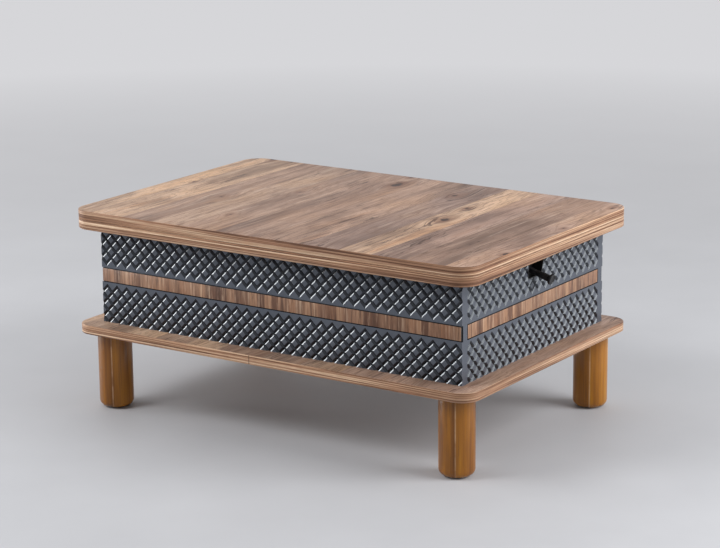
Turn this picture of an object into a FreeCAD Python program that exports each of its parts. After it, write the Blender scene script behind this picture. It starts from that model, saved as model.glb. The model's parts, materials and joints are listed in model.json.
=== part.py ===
import FreeCAD, Part
import math
import os
import re

import Sketcher

# A coffee table whose top is lifted to dining height by a scissor frame, turns a quarter and folds open.
# X runs along the long front side, Y towards the back, Z up. The origin is on the floor, under the centre.

os.makedirs("parts", exist_ok=True)
doc = FreeCAD.newDocument("lift_top_table")
sheet = doc.addObject("Spreadsheet::Sheet", "Sizes")

# Driving sizes in millimetres, grouped by the piece that carries them.
DRIVING = {
    # Boards: the base and the two leaves of the top are cut from the same sheet.
    "board_length": "900",
    "board_depth": "600",
    "board_thickness": "18",
    "top_corner_radius": "40",
    "base_corner_radius": "36",
    "leaf_gap": "0.4",
    # Legs and what fixes them.
    "leg_diameter": "67",
    "leg_length": "151",
    "leg_foot_round": "13",
    "leg_inset_x": "57",
    "leg_inset_y": "53",
    "glide_diameter": "36",
    "glide_thickness": "2",
    "hanger_diameter": "8",
    "hanger_depth": "45",
    "hanger_cap": "2",
    "tee_flange_diameter": "22",
    "tee_flange_thickness": "1.5",
    "tee_barrel_diameter": "11",
    "tee_barrel_length": "13",
    # Case panels, their inlay strips and their fixings.
    "case_overhang_x": "40",
    "case_overhang_y": "42",
    "case_height": "190",
    "case_gap": "1",
    "panel_thickness": "18",
    "strip_height": "26",
    "strip_thickness": "4",
    "strip_gap": "1.5",
    "diamond_width": "24.1",
    "diamond_height": "24.2",
    "diamond_start": "22.8",
    "diamond_groove_width": "8.2",
    "diamond_groove_depth": "2.7",
    "block_width": "24",
    "block_height": "140",
    "panel_screw_diameter": "5",
    "panel_screw_length": "50",
    "panel_screw_head": "9",
    "panel_screw_head_height": "4",
    "panel_screw_span_x": "300",
    "panel_screw_span_y": "120",
    # Mouth for the lever in the right end panel: upright on one side, flared on the other.
    "notch_left": "27",
    "notch_right": "21",
    "notch_flare": "16",
    "notch_depth": "46",
    "liner_wall": "2",
    # Rails and rollers of the lift.
    "rail_height": "32",
    "rail_flange": "28",
    "rail_wall": "3",
    "rail_clearance": "4",
    "rail_end_gap": "32",
    "rail_end": "44",
    "rail_screw_diameter": "4",
    "rail_screw_head": "8",
    "rail_screw_length": "15",
    "rail_screw_near_x": "120",
    "rail_screw_end": "25",
    "roller_clearance": "0.3",
    "roller_width": "18",
    "roller_web_gap": "3",
    "axle_diameter": "12",
    "axle_end_gap": "1",
    # Scissor arms.
    "arm_width": "30",
    "arm_thickness": "6",
    "arm_rail_gap": "6",
    "arm_gap": "4",
    "tie_diameter": "16",
    "tie_offset": "195",
    "axle_head_diameter": "20",
    "axle_head_thickness": "3",
    "raised_angle": "50.72",
    # Upper frame.
    "bar_width": "30",
    "bar_thickness": "6",
    "bar_end_inset": "5",
    "bar_screw_diameter": "6",
    "bar_screw_head": "11",
    "bar_screw_head_height": "3",
    "pivot_bar_width": "64",
    "pad_diameter": "24",
    "pad_thickness": "1.8",
    "pad_gap": "0.2",
    "pad_y": "170",
    # Pivot that the top turns on.
    "spindle_diameter": "20",
    "spindle_thread": "16",
    "spindle_flange_diameter": "70",
    "spindle_flange_thickness": "4",
    "bush_wall": "3",
    "bush_flange_diameter": "40",
    "bush_tail": "8",
    "pivot_nut_across_corners": "30",
    "pivot_nut_height": "12",
    "pivot_end_play": "0.5",
    # Gas spring, which pulls the upper rollers in.
    "gas_tube_diameter": "18",
    "gas_tube_wall": "1.5",
    "gas_rod_diameter": "8",
    "gas_eye_diameter": "24",
    "gas_eye_width": "14",
    "gas_cap": "6",
    "gas_play": "3",
    "piston_length": "10",
    "gland_length": "12",
    "rod_nut_across_corners": "15",
    "rod_nut_height": "6.5",
    "rod_tail": "11",
    # Release lever, its bracket and the pin that it presses.
    "lever_setback": "18",
    "lever_toe_height": "12",
    "lever_toe_offset": "2",
    "lever_toe_diameter": "8",
    "lever_hub_diameter": "20",
    "lever_hub_width": "18",
    "lever_droop": "15.8",
    "lever_arm_rise": "7.6",
    "lever_arm_width": "8",
    "lever_pin_diameter": "6",
    "lever_pin_head": "10",
    "lever_pin_head_thickness": "2",
    "lever_tang_diameter": "6",
    "lever_tang_length": "24",
    "knob_start": "38",
    "knob_length": "34",
    "knob_neck_diameter": "11",
    "knob_grip_diameter": "13",
    "knob_flange_diameter": "20",
    "knob_flare_length": "2.5",
    "knob_flange_thickness": "5",
    "knob_rim_bevel": "1.25",
    "knob_end_diameter": "16",
    "release_pin_diameter": "4",
    "release_pin_length": "26",
    "release_pin_gap": "0.3",
    "bracket_wall": "3",
    "bracket_half_width": "24",
    "bracket_anchor_setback": "29",
    "bracket_anchor_wall": "4",
    "bracket_anchor_half_width": "14",
    "bracket_anchor_drop": "28",
    "bracket_cheek_gap": "0.5",
    "bracket_cheek_length": "22",
    "bracket_mask_gap": "3",
    "bracket_mask_lap": "5",
    "bracket_slot_half_width": "7",
    "bracket_slot_height": "22",
    # Hinges that join the two leaves along their rear edge.
    "hinge_length": "50",
    "hinge_spacing": "300",
    "hinge_plate_width": "22",
    "hinge_plate_thickness": "1.5",
    "hinge_pin_diameter": "2.5",
    "hinge_play": "0.3",
    "knuckle_diameter": "5",
    "knuckle_relief": "0.4",
    "fold_gap": "0.3",
    # Fits: radial play of a pin in its hole, and how far a cut runs past a face.
    "fit_clearance": "0.05",
    "overrun": "5",
}

# Sizes and places worked out from the driving ones.
WORKED_OUT = {
    "base_bottom": "glide_thickness + leg_length",
    "base_top": "base_bottom + board_thickness",
    "leg_x": "board_length / 2 - leg_inset_x",
    "leg_y": "board_depth / 2 - leg_inset_y",
    "case_length": "board_length - 2 * case_overhang_x",
    "case_depth": "board_depth - 2 * case_overhang_y",
    "case_top": "base_top + case_height",
    "end_length": "case_depth - 2 * panel_thickness",
    "groove_low": "(case_height - strip_height) / 2 - strip_gap",
    "groove_high": "(case_height + strip_height) / 2 + strip_gap",
    "long_columns": "round(case_length / diamond_width)",
    "end_columns": "round(end_length / diamond_width)",
    "diamond_field": "case_height / 2 - diamond_start",
    "columns_beyond": "floor(diamond_field / diamond_height + 1 / 2)",
    "leaf_bottom": "case_top + case_gap",
    "leaf_top": "leaf_bottom + board_thickness",
    "upper_leaf_bottom": "leaf_top + leaf_gap",
    "fold_y": "(board_depth - knuckle_diameter) / 2",
    "fold_z": "leaf_top + leaf_gap / 2",
    "leaf_rear": "fold_y - fold_gap",
    "turn_offset": "fold_y / 2",
    "frame_top": "leaf_bottom - pad_gap - pad_thickness",
    "upper_rail_top": "frame_top - bar_thickness",
    "upper_axle_z": "upper_rail_top - rail_height / 2",
    "lower_axle_z": "base_top + rail_height / 2",
    "closed_rise": "upper_axle_z - lower_axle_z",
    "rail_length": "case_length - 2 * panel_thickness - 2 * rail_end_gap",
    "rail_screw_far_x": "rail_length / 2 - rail_screw_end",
    "axle_x": "rail_length / 2 - rail_end",
    "closed_reach": "2 * axle_x",
    "arm_length": "sqrt(closed_reach ^ 2 + closed_rise ^ 2)",
    "raised_reach": "arm_length * cos(raised_angle)",
    "lift_stroke": "closed_reach - raised_reach",
    "axle_hole": "axle_diameter + 2 * fit_clearance",
    "rail_y": "case_depth / 2 - panel_thickness - rail_clearance",
    "rail_screw_y": "rail_y - rail_flange / 2",
    "roller_diameter": "rail_height - 2 * rail_wall - 2 * roller_clearance",
    "roller_y": "rail_y - rail_wall - roller_web_gap - roller_width / 2",
    "outer_arm_y": "rail_y - rail_flange - arm_rail_gap - arm_thickness / 2",
    "inner_arm_y": "outer_arm_y - arm_thickness - arm_gap",
    "bar_x": "rail_length / 2 - bar_end_inset - bar_width / 2",
    "bush_diameter": "spindle_diameter + 2 * fit_clearance + 2 * bush_wall",
    "bush_bottom": "upper_rail_top - bush_tail",
    "gas_bore": "gas_tube_diameter - 2 * gas_tube_wall",
    "gas_start": "gas_eye_diameter / 2 + gas_cap",
    "gas_tube_length": "gas_start + 2 * gas_play + piston_length + lift_stroke + gland_length",
    "piston_x": "gas_tube_length - gland_length - gas_play - piston_length - axle_x",
    "lever_x": "case_length / 2 - panel_thickness - lever_setback",
    "bracket_anchor_x": "lever_x - bracket_anchor_setback",
    "rod_end_x": "bracket_anchor_x + bracket_anchor_wall + rod_tail",
    "lever_z": "upper_axle_z - lever_toe_height",
    "release_tip_x": "lever_x - lever_toe_offset - lever_toe_diameter / 2 - release_pin_gap",
    "mask_x": "case_length / 2 - panel_thickness - bracket_mask_gap",
    "notch_z": "case_top - notch_depth",
}

NAMES = set(DRIVING) | set(WORKED_OUT)
cells = list(DRIVING.items()) + [(name, "=" + formula) for name, formula in WORKED_OUT.items()]
for row, (name, content) in enumerate(cells, start=1):
    sheet.set(f"A{row}", name)
    sheet.set(f"B{row}", content)
    sheet.setAlias(f"B{row}", name)
doc.recompute()

ALONG_X = FreeCAD.Vector(1, 0, 0)
ALONG_Y = FreeCAD.Vector(0, 1, 0)
ALONG_Z = FreeCAD.Vector(0, 0, 1)
QUARTER_TURN = 90
HALF_TURN = 180
SIDES = {"front": -1, "rear": 1}
nodes = []


def named(expression):
    """The expression with each size written as a cell of the sheet."""
    return re.sub(r"[a-z]\w*", lambda word: "Sizes." + word[0] if word[0] in NAMES else word[0], expression)


def number(expression):
    return float(sheet.evalExpression(named(expression)))


def bind(thing, **expressions):
    for prop, expression in expressions.items():
        thing.setExpression(prop, named(expression))


def place(piece, x="0", y="0", z="0", axis=ALONG_Z, angle=0):
    piece.Placement = FreeCAD.Placement(FreeCAD.Vector(), FreeCAD.Rotation(axis, angle))
    for prop, expression in zip("xyz", (x, y, z)):
        piece.setExpression("Placement.Base." + prop, named(expression))
    return piece


def node(piece, label):
    """Name a finished piece and list it for export."""
    piece.Label = label
    nodes.append(piece)
    return piece


# Sketches: every point is fixed from the origin by expressions.
def new_sketch(body, plane, height="0"):
    sketch = body.newObject("Sketcher::SketchObject", body.Name + "_sketch")
    support = next(item for item in body.Origin.OriginFeatures if item.Role == plane)
    sketch.AttachmentSupport = [(support, "")]
    sketch.MapMode = "FlatFace"
    sketch.setExpression("AttachmentOffset.Base.z", named(height))
    return sketch


def fix(sketch, kind, places, expression):
    index = sketch.addConstraint(Sketcher.Constraint(kind, *places, number(expression)))
    sketch.setExpression(f"Constraints[{index}]", named(expression))


def draw_outline(sketch, points):
    """A closed outline of straight lines through points given as pairs of expressions."""
    corners = [FreeCAD.Vector(number(across), number(up), 0) for across, up in points]
    following = corners[1:] + corners[:1]
    lines = [sketch.addGeometry(Part.LineSegment(*ends), False) for ends in zip(corners, following)]
    for line, after in zip(lines, lines[1:] + lines[:1]):
        sketch.addConstraint(Sketcher.Constraint("Coincident", line, 2, after, 1))
    for line, (across, up) in zip(lines, points):
        fix(sketch, "DistanceX", (-1, 1, line, 1), across)
        fix(sketch, "DistanceY", (-1, 1, line, 1), up)


def draw_circle(sketch, across, up, diameter):
    centre = FreeCAD.Vector(number(across), number(up), 0)
    circle = sketch.addGeometry(Part.Circle(centre, ALONG_Z, number(diameter) / 2), False)
    fix(sketch, "Diameter", (circle,), diameter)
    fix(sketch, "DistanceX", (-1, 1, circle, 3), across)
    fix(sketch, "DistanceY", (-1, 1, circle, 3), up)


def rectangle(low_across, low_up, high_across, high_up):
    return [(low_across, low_up), (high_across, low_up), (high_across, high_up), (low_across, high_up)]


# Features of a body.
def new_body(label):
    return doc.addObject("PartDesign::Body", label)


def pad(body, sketch, length, side="One side"):
    feature = body.newObject("PartDesign::Pad", body.Name + "_pad")
    feature.Profile = sketch
    feature.SideType = side
    bind(feature, Length=length)
    return feature


def cut_through(body, sketch):
    feature = body.newObject("PartDesign::Pocket", body.Name + "_through")
    feature.Profile = sketch
    feature.SideType = "Symmetric"
    feature.Type = "ThroughAll"
    return feature


def cut_into(body, sketch, depth, upwards=False, side="One side"):
    """A pocket of a set depth, down into the body unless it is said to go up."""
    feature = body.newObject("PartDesign::Pocket", body.Name + "_pocket")
    feature.Profile = sketch
    feature.SideType = side
    feature.Reversed = upwards
    bind(feature, Length=depth)
    return feature


def cut_askew(body, sketch, reach, direction):
    """A pocket that runs askew to its sketch until it is as far from it as the reach."""
    feature = body.newObject("PartDesign::Pocket", body.Name + "_askew")
    feature.Profile = sketch
    feature.UseCustomVector = True
    feature.AlongSketchNormal = True
    feature.Refine = False
    for axis, share in zip("xyz", direction):
        feature.setExpression("Direction." + axis, named(share))
    bind(feature, Length=reach)
    return feature


def repeat(body, feature, count, step, backwards=False):
    """Copies of a feature at even steps along X."""
    pattern = body.newObject("PartDesign::LinearPattern", body.Name + "_row")
    pattern.Originals = [feature]
    axis = next(item for item in body.Origin.OriginFeatures if item.Role == "X_Axis")
    pattern.Direction = (axis, [""])
    pattern.Reversed = backwards
    pattern.Refine = False
    bind(pattern, Occurrences=count, Length=f"({count} - 1) * {step}")
    body.Tip = pattern
    return pattern


def fillet(body, base, radius, wanted):
    """Round the edges of the last feature whose direction and middle the test accepts."""
    doc.recompute()
    edges = base.Shape.Edges
    picked = [f"Edge{index}" for index, edge in enumerate(edges, start=1) if wanted(edge)]
    feature = body.newObject("PartDesign::Fillet", body.Name + "_fillet")
    feature.Base = (base, picked)
    bind(feature, Radius=radius)
    return feature


def is_upright(edge):
    return edge.Curve.TypeId == "Part::GeomLine" and edge.Curve.Direction.cross(ALONG_Z).Length < abs(
        edge.Curve.Direction.z)


def turned(label, profile):
    """A turned piece: its half section, as radius and height, spun about the upright axis."""
    body = new_body(label)
    sketch = new_sketch(body, "XZ_Plane")
    draw_outline(sketch, profile)
    feature = body.newObject("PartDesign::Revolution", label + "_turn")
    feature.Profile = sketch
    feature.ReferenceAxis = (sketch, ["V_Axis"])
    return body


# Primitives.
def block(label, length, width, height, x="0", y="0", z="0"):
    """A box centred across X and Y, standing on its base."""
    piece = doc.addObject("Part::Box", label)
    bind(piece, Length=length, Width=width, Height=height)
    return place(piece, f"{x} - ({length}) / 2", f"{y} - ({width}) / 2", z)


def rod(label, diameter, length, x="0", y="0", z="0", axis=ALONG_Z):
    """A round bar along one axis, centred on its place, or standing on it when upright."""
    piece = doc.addObject("Part::Cylinder", label)
    bind(piece, Radius=f"({diameter}) / 2", Height=length)
    if axis == ALONG_X:
        return place(piece, f"{x} - ({length}) / 2", y, z, ALONG_Y, QUARTER_TURN)
    if axis == ALONG_Y:
        return place(piece, x, f"{y} + ({length}) / 2", z, ALONG_X, QUARTER_TURN)
    return place(piece, x, y, z)


def fuse(label, pieces):
    piece = doc.addObject("Part::MultiFuse", label)
    piece.Shapes = pieces
    piece.Refine = True
    return piece


def cut(label, base, tool):
    piece = doc.addObject("Part::Cut", label)
    piece.Base = base
    piece.Tool = tool
    return piece


def hex_nut(label, across_corners, height, bore, sides="6"):
    """A hexagon nut standing on its base, bored through."""
    prism = doc.addObject("Part::Prism", label + "_hexagon")
    bind(prism, Circumradius=f"{across_corners} / 2", Height=height, Polygon=sides)
    hole = rod(label + "_hole", bore, f"{height} + 2 * overrun", z="-overrun")
    return cut(label, prism, hole)


def group(label, pattern, places):
    """Separate copies of one piece as one node: each place is an offset and a turn about an axis."""
    doc.recompute()
    copies = []
    for x, y, z, axis, angle in places:
        offset = FreeCAD.Vector(number(x), number(y), number(z))
        copy = pattern.Shape.copy()
        copy.Placement = FreeCAD.Placement(offset, FreeCAD.Rotation(axis, angle)).multiply(copy.Placement)
        copies.append(copy)
    piece = doc.addObject("Part::Feature", label)
    piece.Shape = Part.makeCompound(copies)
    return node(piece, label)


def four_corners(x, y):
    return [(f"{side_x} * {x}", f"{side_y} * {y}") for side_x in (-1, 1) for side_y in (-1, 1)]


def upright_at(spots, z):
    return [(x, y, z, ALONG_Z, 0) for x, y in spots]


# Base board: rounded corners, stepped holes for the tee nuts, holes for the panel and rail screws.
leg_spots = four_corners("leg_x", "leg_y")
long_screw_spots = [(f"{step} * panel_screw_span_x", f"{side} * (case_depth - panel_thickness) / 2")
                    for step in (-1, 0, 1) for side in SIDES.values()]
end_screw_spots = four_corners("(case_length - panel_thickness) / 2", "panel_screw_span_y")
panel_screw_spots = long_screw_spots + end_screw_spots
rail_screw_spots = [spot for x in ("rail_screw_near_x", "rail_screw_far_x")
                    for spot in four_corners(x, "rail_screw_y")]

base = new_body("base_board")
sketch = new_sketch(base, "XY_Plane")
draw_outline(sketch, rectangle("-board_length / 2", "-board_depth / 2",
                               "board_length / 2", "board_depth / 2"))
fillet(base, pad(base, sketch, "board_thickness"), "base_corner_radius", is_upright)
sketch = new_sketch(base, "XY_Plane")
for x, y in leg_spots:
    draw_circle(sketch, x, y, "tee_barrel_diameter + 2 * fit_clearance")
for x, y in panel_screw_spots:
    draw_circle(sketch, x, y, "panel_screw_diameter + 2 * fit_clearance")
for x, y in rail_screw_spots:
    draw_circle(sketch, x, y, "rail_screw_diameter + 2 * fit_clearance")
cut_through(base, sketch)
sketch = new_sketch(base, "XY_Plane", "board_thickness")
for x, y in leg_spots:
    draw_circle(sketch, x, y, "tee_flange_diameter + 2 * fit_clearance")
cut_into(base, sketch, "tee_flange_thickness")
sketch = new_sketch(base, "XY_Plane")
for x, y in panel_screw_spots:
    draw_circle(sketch, x, y, "panel_screw_head + 2 * fit_clearance")
cut_into(base, sketch, "panel_screw_head_height", upwards=True)
node(place(base, z="base_bottom"), "base_board")

# Legs: turned posts, rounded at the foot, bored at the top for the hanger bolt.
for x, left_right in ((-1, "left"), (1, "right")):
    for front_rear, y in SIDES.items():
        leg = new_body(f"leg_{front_rear}_{left_right}")
        sketch = new_sketch(leg, "XY_Plane")
        draw_circle(sketch, "0", "0", "leg_diameter")
        post = pad(leg, sketch, "leg_length")
        fillet(leg, post, "leg_foot_round", lambda edge: edge.Closed and edge.CenterOfMass.z <= 0)
        sketch = new_sketch(leg, "XY_Plane", "leg_length")
        draw_circle(sketch, "0", "0", "hanger_diameter + 2 * fit_clearance")
        cut_into(leg, sketch, "hanger_depth")
        place(leg, f"{x} * leg_x", f"{y} * leg_y", "glide_thickness")
        node(leg, f"leg_{front_rear}_{left_right}")

hanger = rod("hanger_bolt", "hanger_diameter", "hanger_depth + board_thickness - hanger_cap")
group("leg_hanger_bolts", hanger, upright_at(leg_spots, "base_bottom - hanger_depth"))
tee_bore = "hanger_diameter / 2 + fit_clearance"
tee_nut = turned("tee_nut", [
    (tee_bore, "-tee_barrel_length"), ("tee_barrel_diameter / 2", "-tee_barrel_length"),
    ("tee_barrel_diameter / 2", "-tee_flange_thickness"),
    ("tee_flange_diameter / 2", "-tee_flange_thickness"), ("tee_flange_diameter / 2", "0"), (tee_bore, "0")])
group("leg_tee_nuts", tee_nut, upright_at(leg_spots, "base_top"))
glide = rod("foot_glide", "glide_diameter", "glide_thickness")
group("foot_glides", glide, upright_at(leg_spots, "0"))


# Case panels: the outer face has crossing V grooves, which leave flat-topped diamonds above and below a plain
# band, and a groove for the inlay strip in that band. The screws come in from below.
def panel(label, length, columns, screw_steps, screw_span, mouth=None):
    body = new_body(label)
    outer = "-panel_thickness / 2"
    sketch = new_sketch(body, "XY_Plane")
    draw_outline(sketch, rectangle(f"-{length} / 2", outer, f"{length} / 2", "panel_thickness / 2"))
    pad(body, sketch, "case_height")
    pitch = f"({length} / {columns})"
    slope = f"(diamond_height / {pitch})"
    half_rise = f"diamond_groove_width / 2 * sqrt(1 + {slope} ^ 2)"
    first_column = f"({pitch} / 2 - columns_beyond * {pitch} - {length} / 2)"
    for up in (1, -1):
        valley = f"case_height / 2 + {up} * diamond_start"
        for along in (1, -1):
            sketch = new_sketch(body, "YZ_Plane", f"{along} * {first_column}")
            draw_outline(sketch, [
                (f"{outer} - overrun", f"{valley} - {half_rise}"), (outer, f"{valley} - {half_rise}"),
                (f"{outer} + diamond_groove_depth", valley),
                (outer, f"{valley} + {half_rise}"), (f"{outer} - overrun", f"{valley} + {half_rise}")])
            groove = cut_askew(body, sketch, f"(diamond_field + overrun) / {slope}",
                               (f"{along}", "0", f"{up} * {slope}"))
            repeat(body, groove, f"({columns} + columns_beyond)", pitch, along < 0)
    sketch = new_sketch(body, "YZ_Plane")
    draw_outline(sketch, rectangle(f"{outer} - overrun", "groove_low",
                                   f"{outer} + strip_thickness", "groove_high"))
    cut_through(body, sketch)
    sketch = new_sketch(body, "XY_Plane")
    for step in screw_steps:
        draw_circle(sketch, f"{step} * {screw_span}", "0", "panel_screw_diameter + 2 * fit_clearance")
    cut_into(body, sketch, "panel_screw_length - board_thickness + fit_clearance", upwards=True)
    if mouth:
        sketch = new_sketch(body, "XZ_Plane")
        draw_outline(sketch, mouth)
        cut_through(body, sketch)
    return body


# The flared side of the mouth runs on at the same slope past the top edge of the panel.
notch_slope = "notch_flare / notch_depth"
notch_foot = "case_height - notch_depth"
mouth = [("-notch_left", notch_foot), ("notch_right", notch_foot),
         (f"notch_right + notch_flare + overrun * {notch_slope}", "case_height + overrun"),
         ("-notch_left", "case_height + overrun")]

# Long and end panels: length, columns of diamonds, steps and span of the screws. Then each panel: its kind,
# side, turn and mouth.
kinds = {"long": ("case_length", "long_columns", (-1, 0, 1), "panel_screw_span_x"),
         "end": ("end_length", "end_columns", (-1, 1), "panel_screw_span_y")}
panels = [
    ("front", "front_panel", "long", 0, -1, 0, None),
    ("rear", "rear_panel", "long", 0, 1, HALF_TURN, None),
    ("left", "left_end_panel", "end", -1, 0, -QUARTER_TURN, None),
    ("right", "right_end_panel", "end", 1, 0, QUARTER_TURN, mouth),
]
for name, label, kind, x, y, angle, opening in panels:
    length, columns, steps, span = kinds[kind]
    spot_x = f"{x} * (case_length - panel_thickness) / 2"
    spot_y = f"{y} * (case_depth - panel_thickness) / 2"
    piece = panel(label, length, columns, steps, span, opening)
    node(place(piece, spot_x, spot_y, "base_top", ALONG_Z, angle), label)
    strip = new_body(f"{name}_inlay_strip")
    sketch = new_sketch(strip, "XY_Plane", "groove_low + strip_gap")
    half_strip = f"{length} / 2 - strip_gap"
    draw_outline(sketch, rectangle(f"-({half_strip})", "-panel_thickness / 2",
                                   half_strip, "strip_thickness - panel_thickness / 2"))
    pad(strip, sketch, "strip_height")
    node(place(strip, spot_x, spot_y, "base_top", ALONG_Z, angle), f"{name}_inlay_strip")

corner_block = block("corner_block", "block_width", "block_width", "block_height")
block_spots = four_corners("(case_length / 2 - panel_thickness - block_width / 2)",
                           "(end_length / 2 - block_width / 2)")
group("corner_blocks", corner_block, upright_at(block_spots, "base_top"))

shank = "panel_screw_diameter / 2"
panel_screw = turned("panel_screw", [
    ("0", "0"), ("panel_screw_head / 2", "0"), ("panel_screw_head / 2", "panel_screw_head_height"),
    (shank, "panel_screw_head_height"), (shank, "panel_screw_length"), ("0", "panel_screw_length")])
group("panel_screws", panel_screw, upright_at(panel_screw_spots, "base_bottom"))

# Liner of the mouth: a bent strip that follows its two sides and its floor, flush with both panel faces.
liner = new_body("notch_liner")
sketch = new_sketch(liner, "XZ_Plane")
draw_outline(sketch, [
    ("-notch_left", notch_foot), ("notch_right", notch_foot),
    ("notch_right + notch_flare", "case_height"), ("notch_right + notch_flare - liner_wall", "case_height"),
    (f"notch_right - liner_wall + liner_wall * {notch_slope}", f"{notch_foot} + liner_wall"),
    ("liner_wall - notch_left", f"{notch_foot} + liner_wall"),
    ("liner_wall - notch_left", "case_height"), ("-notch_left", "case_height")])
pad(liner, sketch, "panel_thickness", "Symmetric")
place(liner, "(case_length - panel_thickness) / 2", "0", "base_top", ALONG_Z, QUARTER_TURN)
node(liner, "notch_liner")


# Rails: channels open towards the middle, with a web hole for the fixed axle and screw holes in one flange.
def rail(label, side, screw_spots, screw_hole, on_top):
    body = new_body(label)
    web = f"{side} * rail_y"
    web_inner = f"{side} * (rail_y - rail_wall)"
    lip = f"{side} * (rail_y - rail_flange)"
    half = "rail_height / 2"
    inner = "(rail_height / 2 - rail_wall)"
    sketch = new_sketch(body, "YZ_Plane")
    draw_outline(sketch, [
        (web, f"-{half}"), (lip, f"-{half}"), (lip, f"-{inner}"), (web_inner, f"-{inner}"),
        (web_inner, inner), (lip, inner), (lip, half), (web, half)])
    pad(body, sketch, "rail_length", "Symmetric")
    sketch = new_sketch(body, "XZ_Plane")
    draw_circle(sketch, "axle_x", "0", "axle_hole")
    cut_through(body, sketch)
    sketch = new_sketch(body, "XY_Plane", half if on_top else f"-{half}")
    for x in screw_spots:
        draw_circle(sketch, x, f"{side} * rail_screw_y", screw_hole)
    cut_into(body, sketch, "rail_wall", upwards=not on_top)
    return body


lower_screw_steps = [f"{side} * {x}" for side in (-1, 1) for x in ("rail_screw_near_x", "rail_screw_far_x")]
bar_steps = ["-bar_x", "turn_offset", "bar_x"]
lower_screw_hole = "rail_screw_head + 2 * fit_clearance"
bar_screw_hole = "bar_screw_diameter + 2 * fit_clearance"
for name, side in SIDES.items():
    lower = rail(f"lower_rail_{name}", side, lower_screw_steps, lower_screw_hole, False)
    node(place(lower, z="lower_axle_z"), f"lower_rail_{name}")
    upper = rail(f"upper_rail_{name}", side, bar_steps, bar_screw_hole, True)
    node(place(upper, z="upper_axle_z"), f"upper_rail_{name}")

thin_shank = "rail_screw_diameter / 2"
rail_screw = turned("rail_screw", [
    ("0", "-rail_screw_length"), (thin_shank, "-rail_screw_length"), (thin_shank, "-rail_wall"),
    ("rail_screw_head / 2", "-rail_wall"), ("rail_screw_head / 2", "0"), ("0", "0")])
group("lower_rail_screws", rail_screw, upright_at(rail_screw_spots, "base_top + rail_wall"))

# Axles: the fixed lower one spans the rail webs, the roller ones stop short of them. Above, where the gas
# rod passes, two headed pins take the place of a fixed axle.
roller_span = "2 * (rail_y - rail_wall - axle_end_gap)"
node(rod("lower_fixed_axle", "axle_diameter", "2 * rail_y", "axle_x", "0", "lower_axle_z", ALONG_Y),
     "lower_fixed_axle")
head_radius = "axle_head_diameter / 2"
axle_radius = "axle_diameter / 2"
pin_head_outer = "inner_arm_y - arm_thickness / 2 - pivot_end_play"
pin_head_inner = f"{pin_head_outer} - axle_head_thickness"
pivot_pin = turned("upper_pivot_pin", [
    ("0", pin_head_inner), (head_radius, pin_head_inner), (head_radius, pin_head_outer),
    (axle_radius, pin_head_outer), (axle_radius, "rail_y"), ("0", "rail_y")])
group("upper_pivot_pins", pivot_pin,
      [("axle_x", "0", "upper_axle_z", ALONG_X, side * QUARTER_TURN) for side in SIDES.values()])
roller = turned("roller", rectangle("axle_hole / 2", "-roller_width / 2",
                                    "roller_diameter / 2", "roller_width / 2"))
for level in ("upper", "lower"):
    axle_z = f"{level}_axle_z"
    axle = rod(f"{level}_roller_axle", "axle_diameter", roller_span, "-axle_x", "0", axle_z, ALONG_Y)
    node(axle, f"{level}_roller_axle")
    group(f"{level}_rollers", roller,
          [("-axle_x", f"{side} * roller_y", axle_z, ALONG_X, QUARTER_TURN) for side in SIDES.values()])

# Scissor arms: flat bars with round ends and three holes, crossing at their middles.
closed_angle = math.degrees(math.asin(number("closed_rise / arm_length")))


def arm(label):
    body = new_body(label)
    sketch = new_sketch(body, "XZ_Plane")
    length = number("arm_length")
    radius = number("arm_width / 2")
    near_end = Part.Circle(FreeCAD.Vector(), ALONG_Z, radius)
    far_end = Part.Circle(FreeCAD.Vector(length, 0, 0), ALONG_Z, radius)
    left = sketch.addGeometry(Part.ArcOfCircle(near_end, math.pi / 2, 3 * math.pi / 2), False)
    right = sketch.addGeometry(Part.ArcOfCircle(far_end, -math.pi / 2, math.pi / 2), False)
    low = FreeCAD.Vector(0, -radius, 0)
    high = FreeCAD.Vector(0, radius, 0)
    along = FreeCAD.Vector(length, 0, 0)
    under = sketch.addGeometry(Part.LineSegment(low, low + along), False)
    over = sketch.addGeometry(Part.LineSegment(high + along, high), False)
    for line, line_end, arc, arc_end in ((under, 1, left, 2), (under, 2, right, 1),
                                         (over, 1, right, 2), (over, 2, left, 1)):
        sketch.addConstraint(Sketcher.Constraint("Tangent", line, line_end, arc, arc_end))
    sketch.addConstraint(Sketcher.Constraint("Coincident", left, 3, -1, 1))
    sketch.addConstraint(Sketcher.Constraint("Horizontal", under))
    fix(sketch, "DistanceX", (-1, 1, right, 3), "arm_length")
    fix(sketch, "Radius", (left,), "arm_width / 2")
    for spot in ("0", "arm_length / 2", "arm_length"):
        draw_circle(sketch, spot, "0", "axle_hole")
    pad(body, sketch, "arm_thickness", "Symmetric")
    return body


for name, side in SIDES.items():
    outer = arm(f"outer_arm_{name}")
    place(outer, "axle_x", f"{side} * outer_arm_y", "lower_axle_z", ALONG_Y, HALF_TURN + closed_angle)
    node(outer, f"outer_arm_{name}")
    inner = arm(f"inner_arm_{name}")
    place(inner, "-axle_x", f"{side} * inner_arm_y", "lower_axle_z", ALONG_Y, -closed_angle)
    node(inner, f"inner_arm_{name}")

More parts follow.
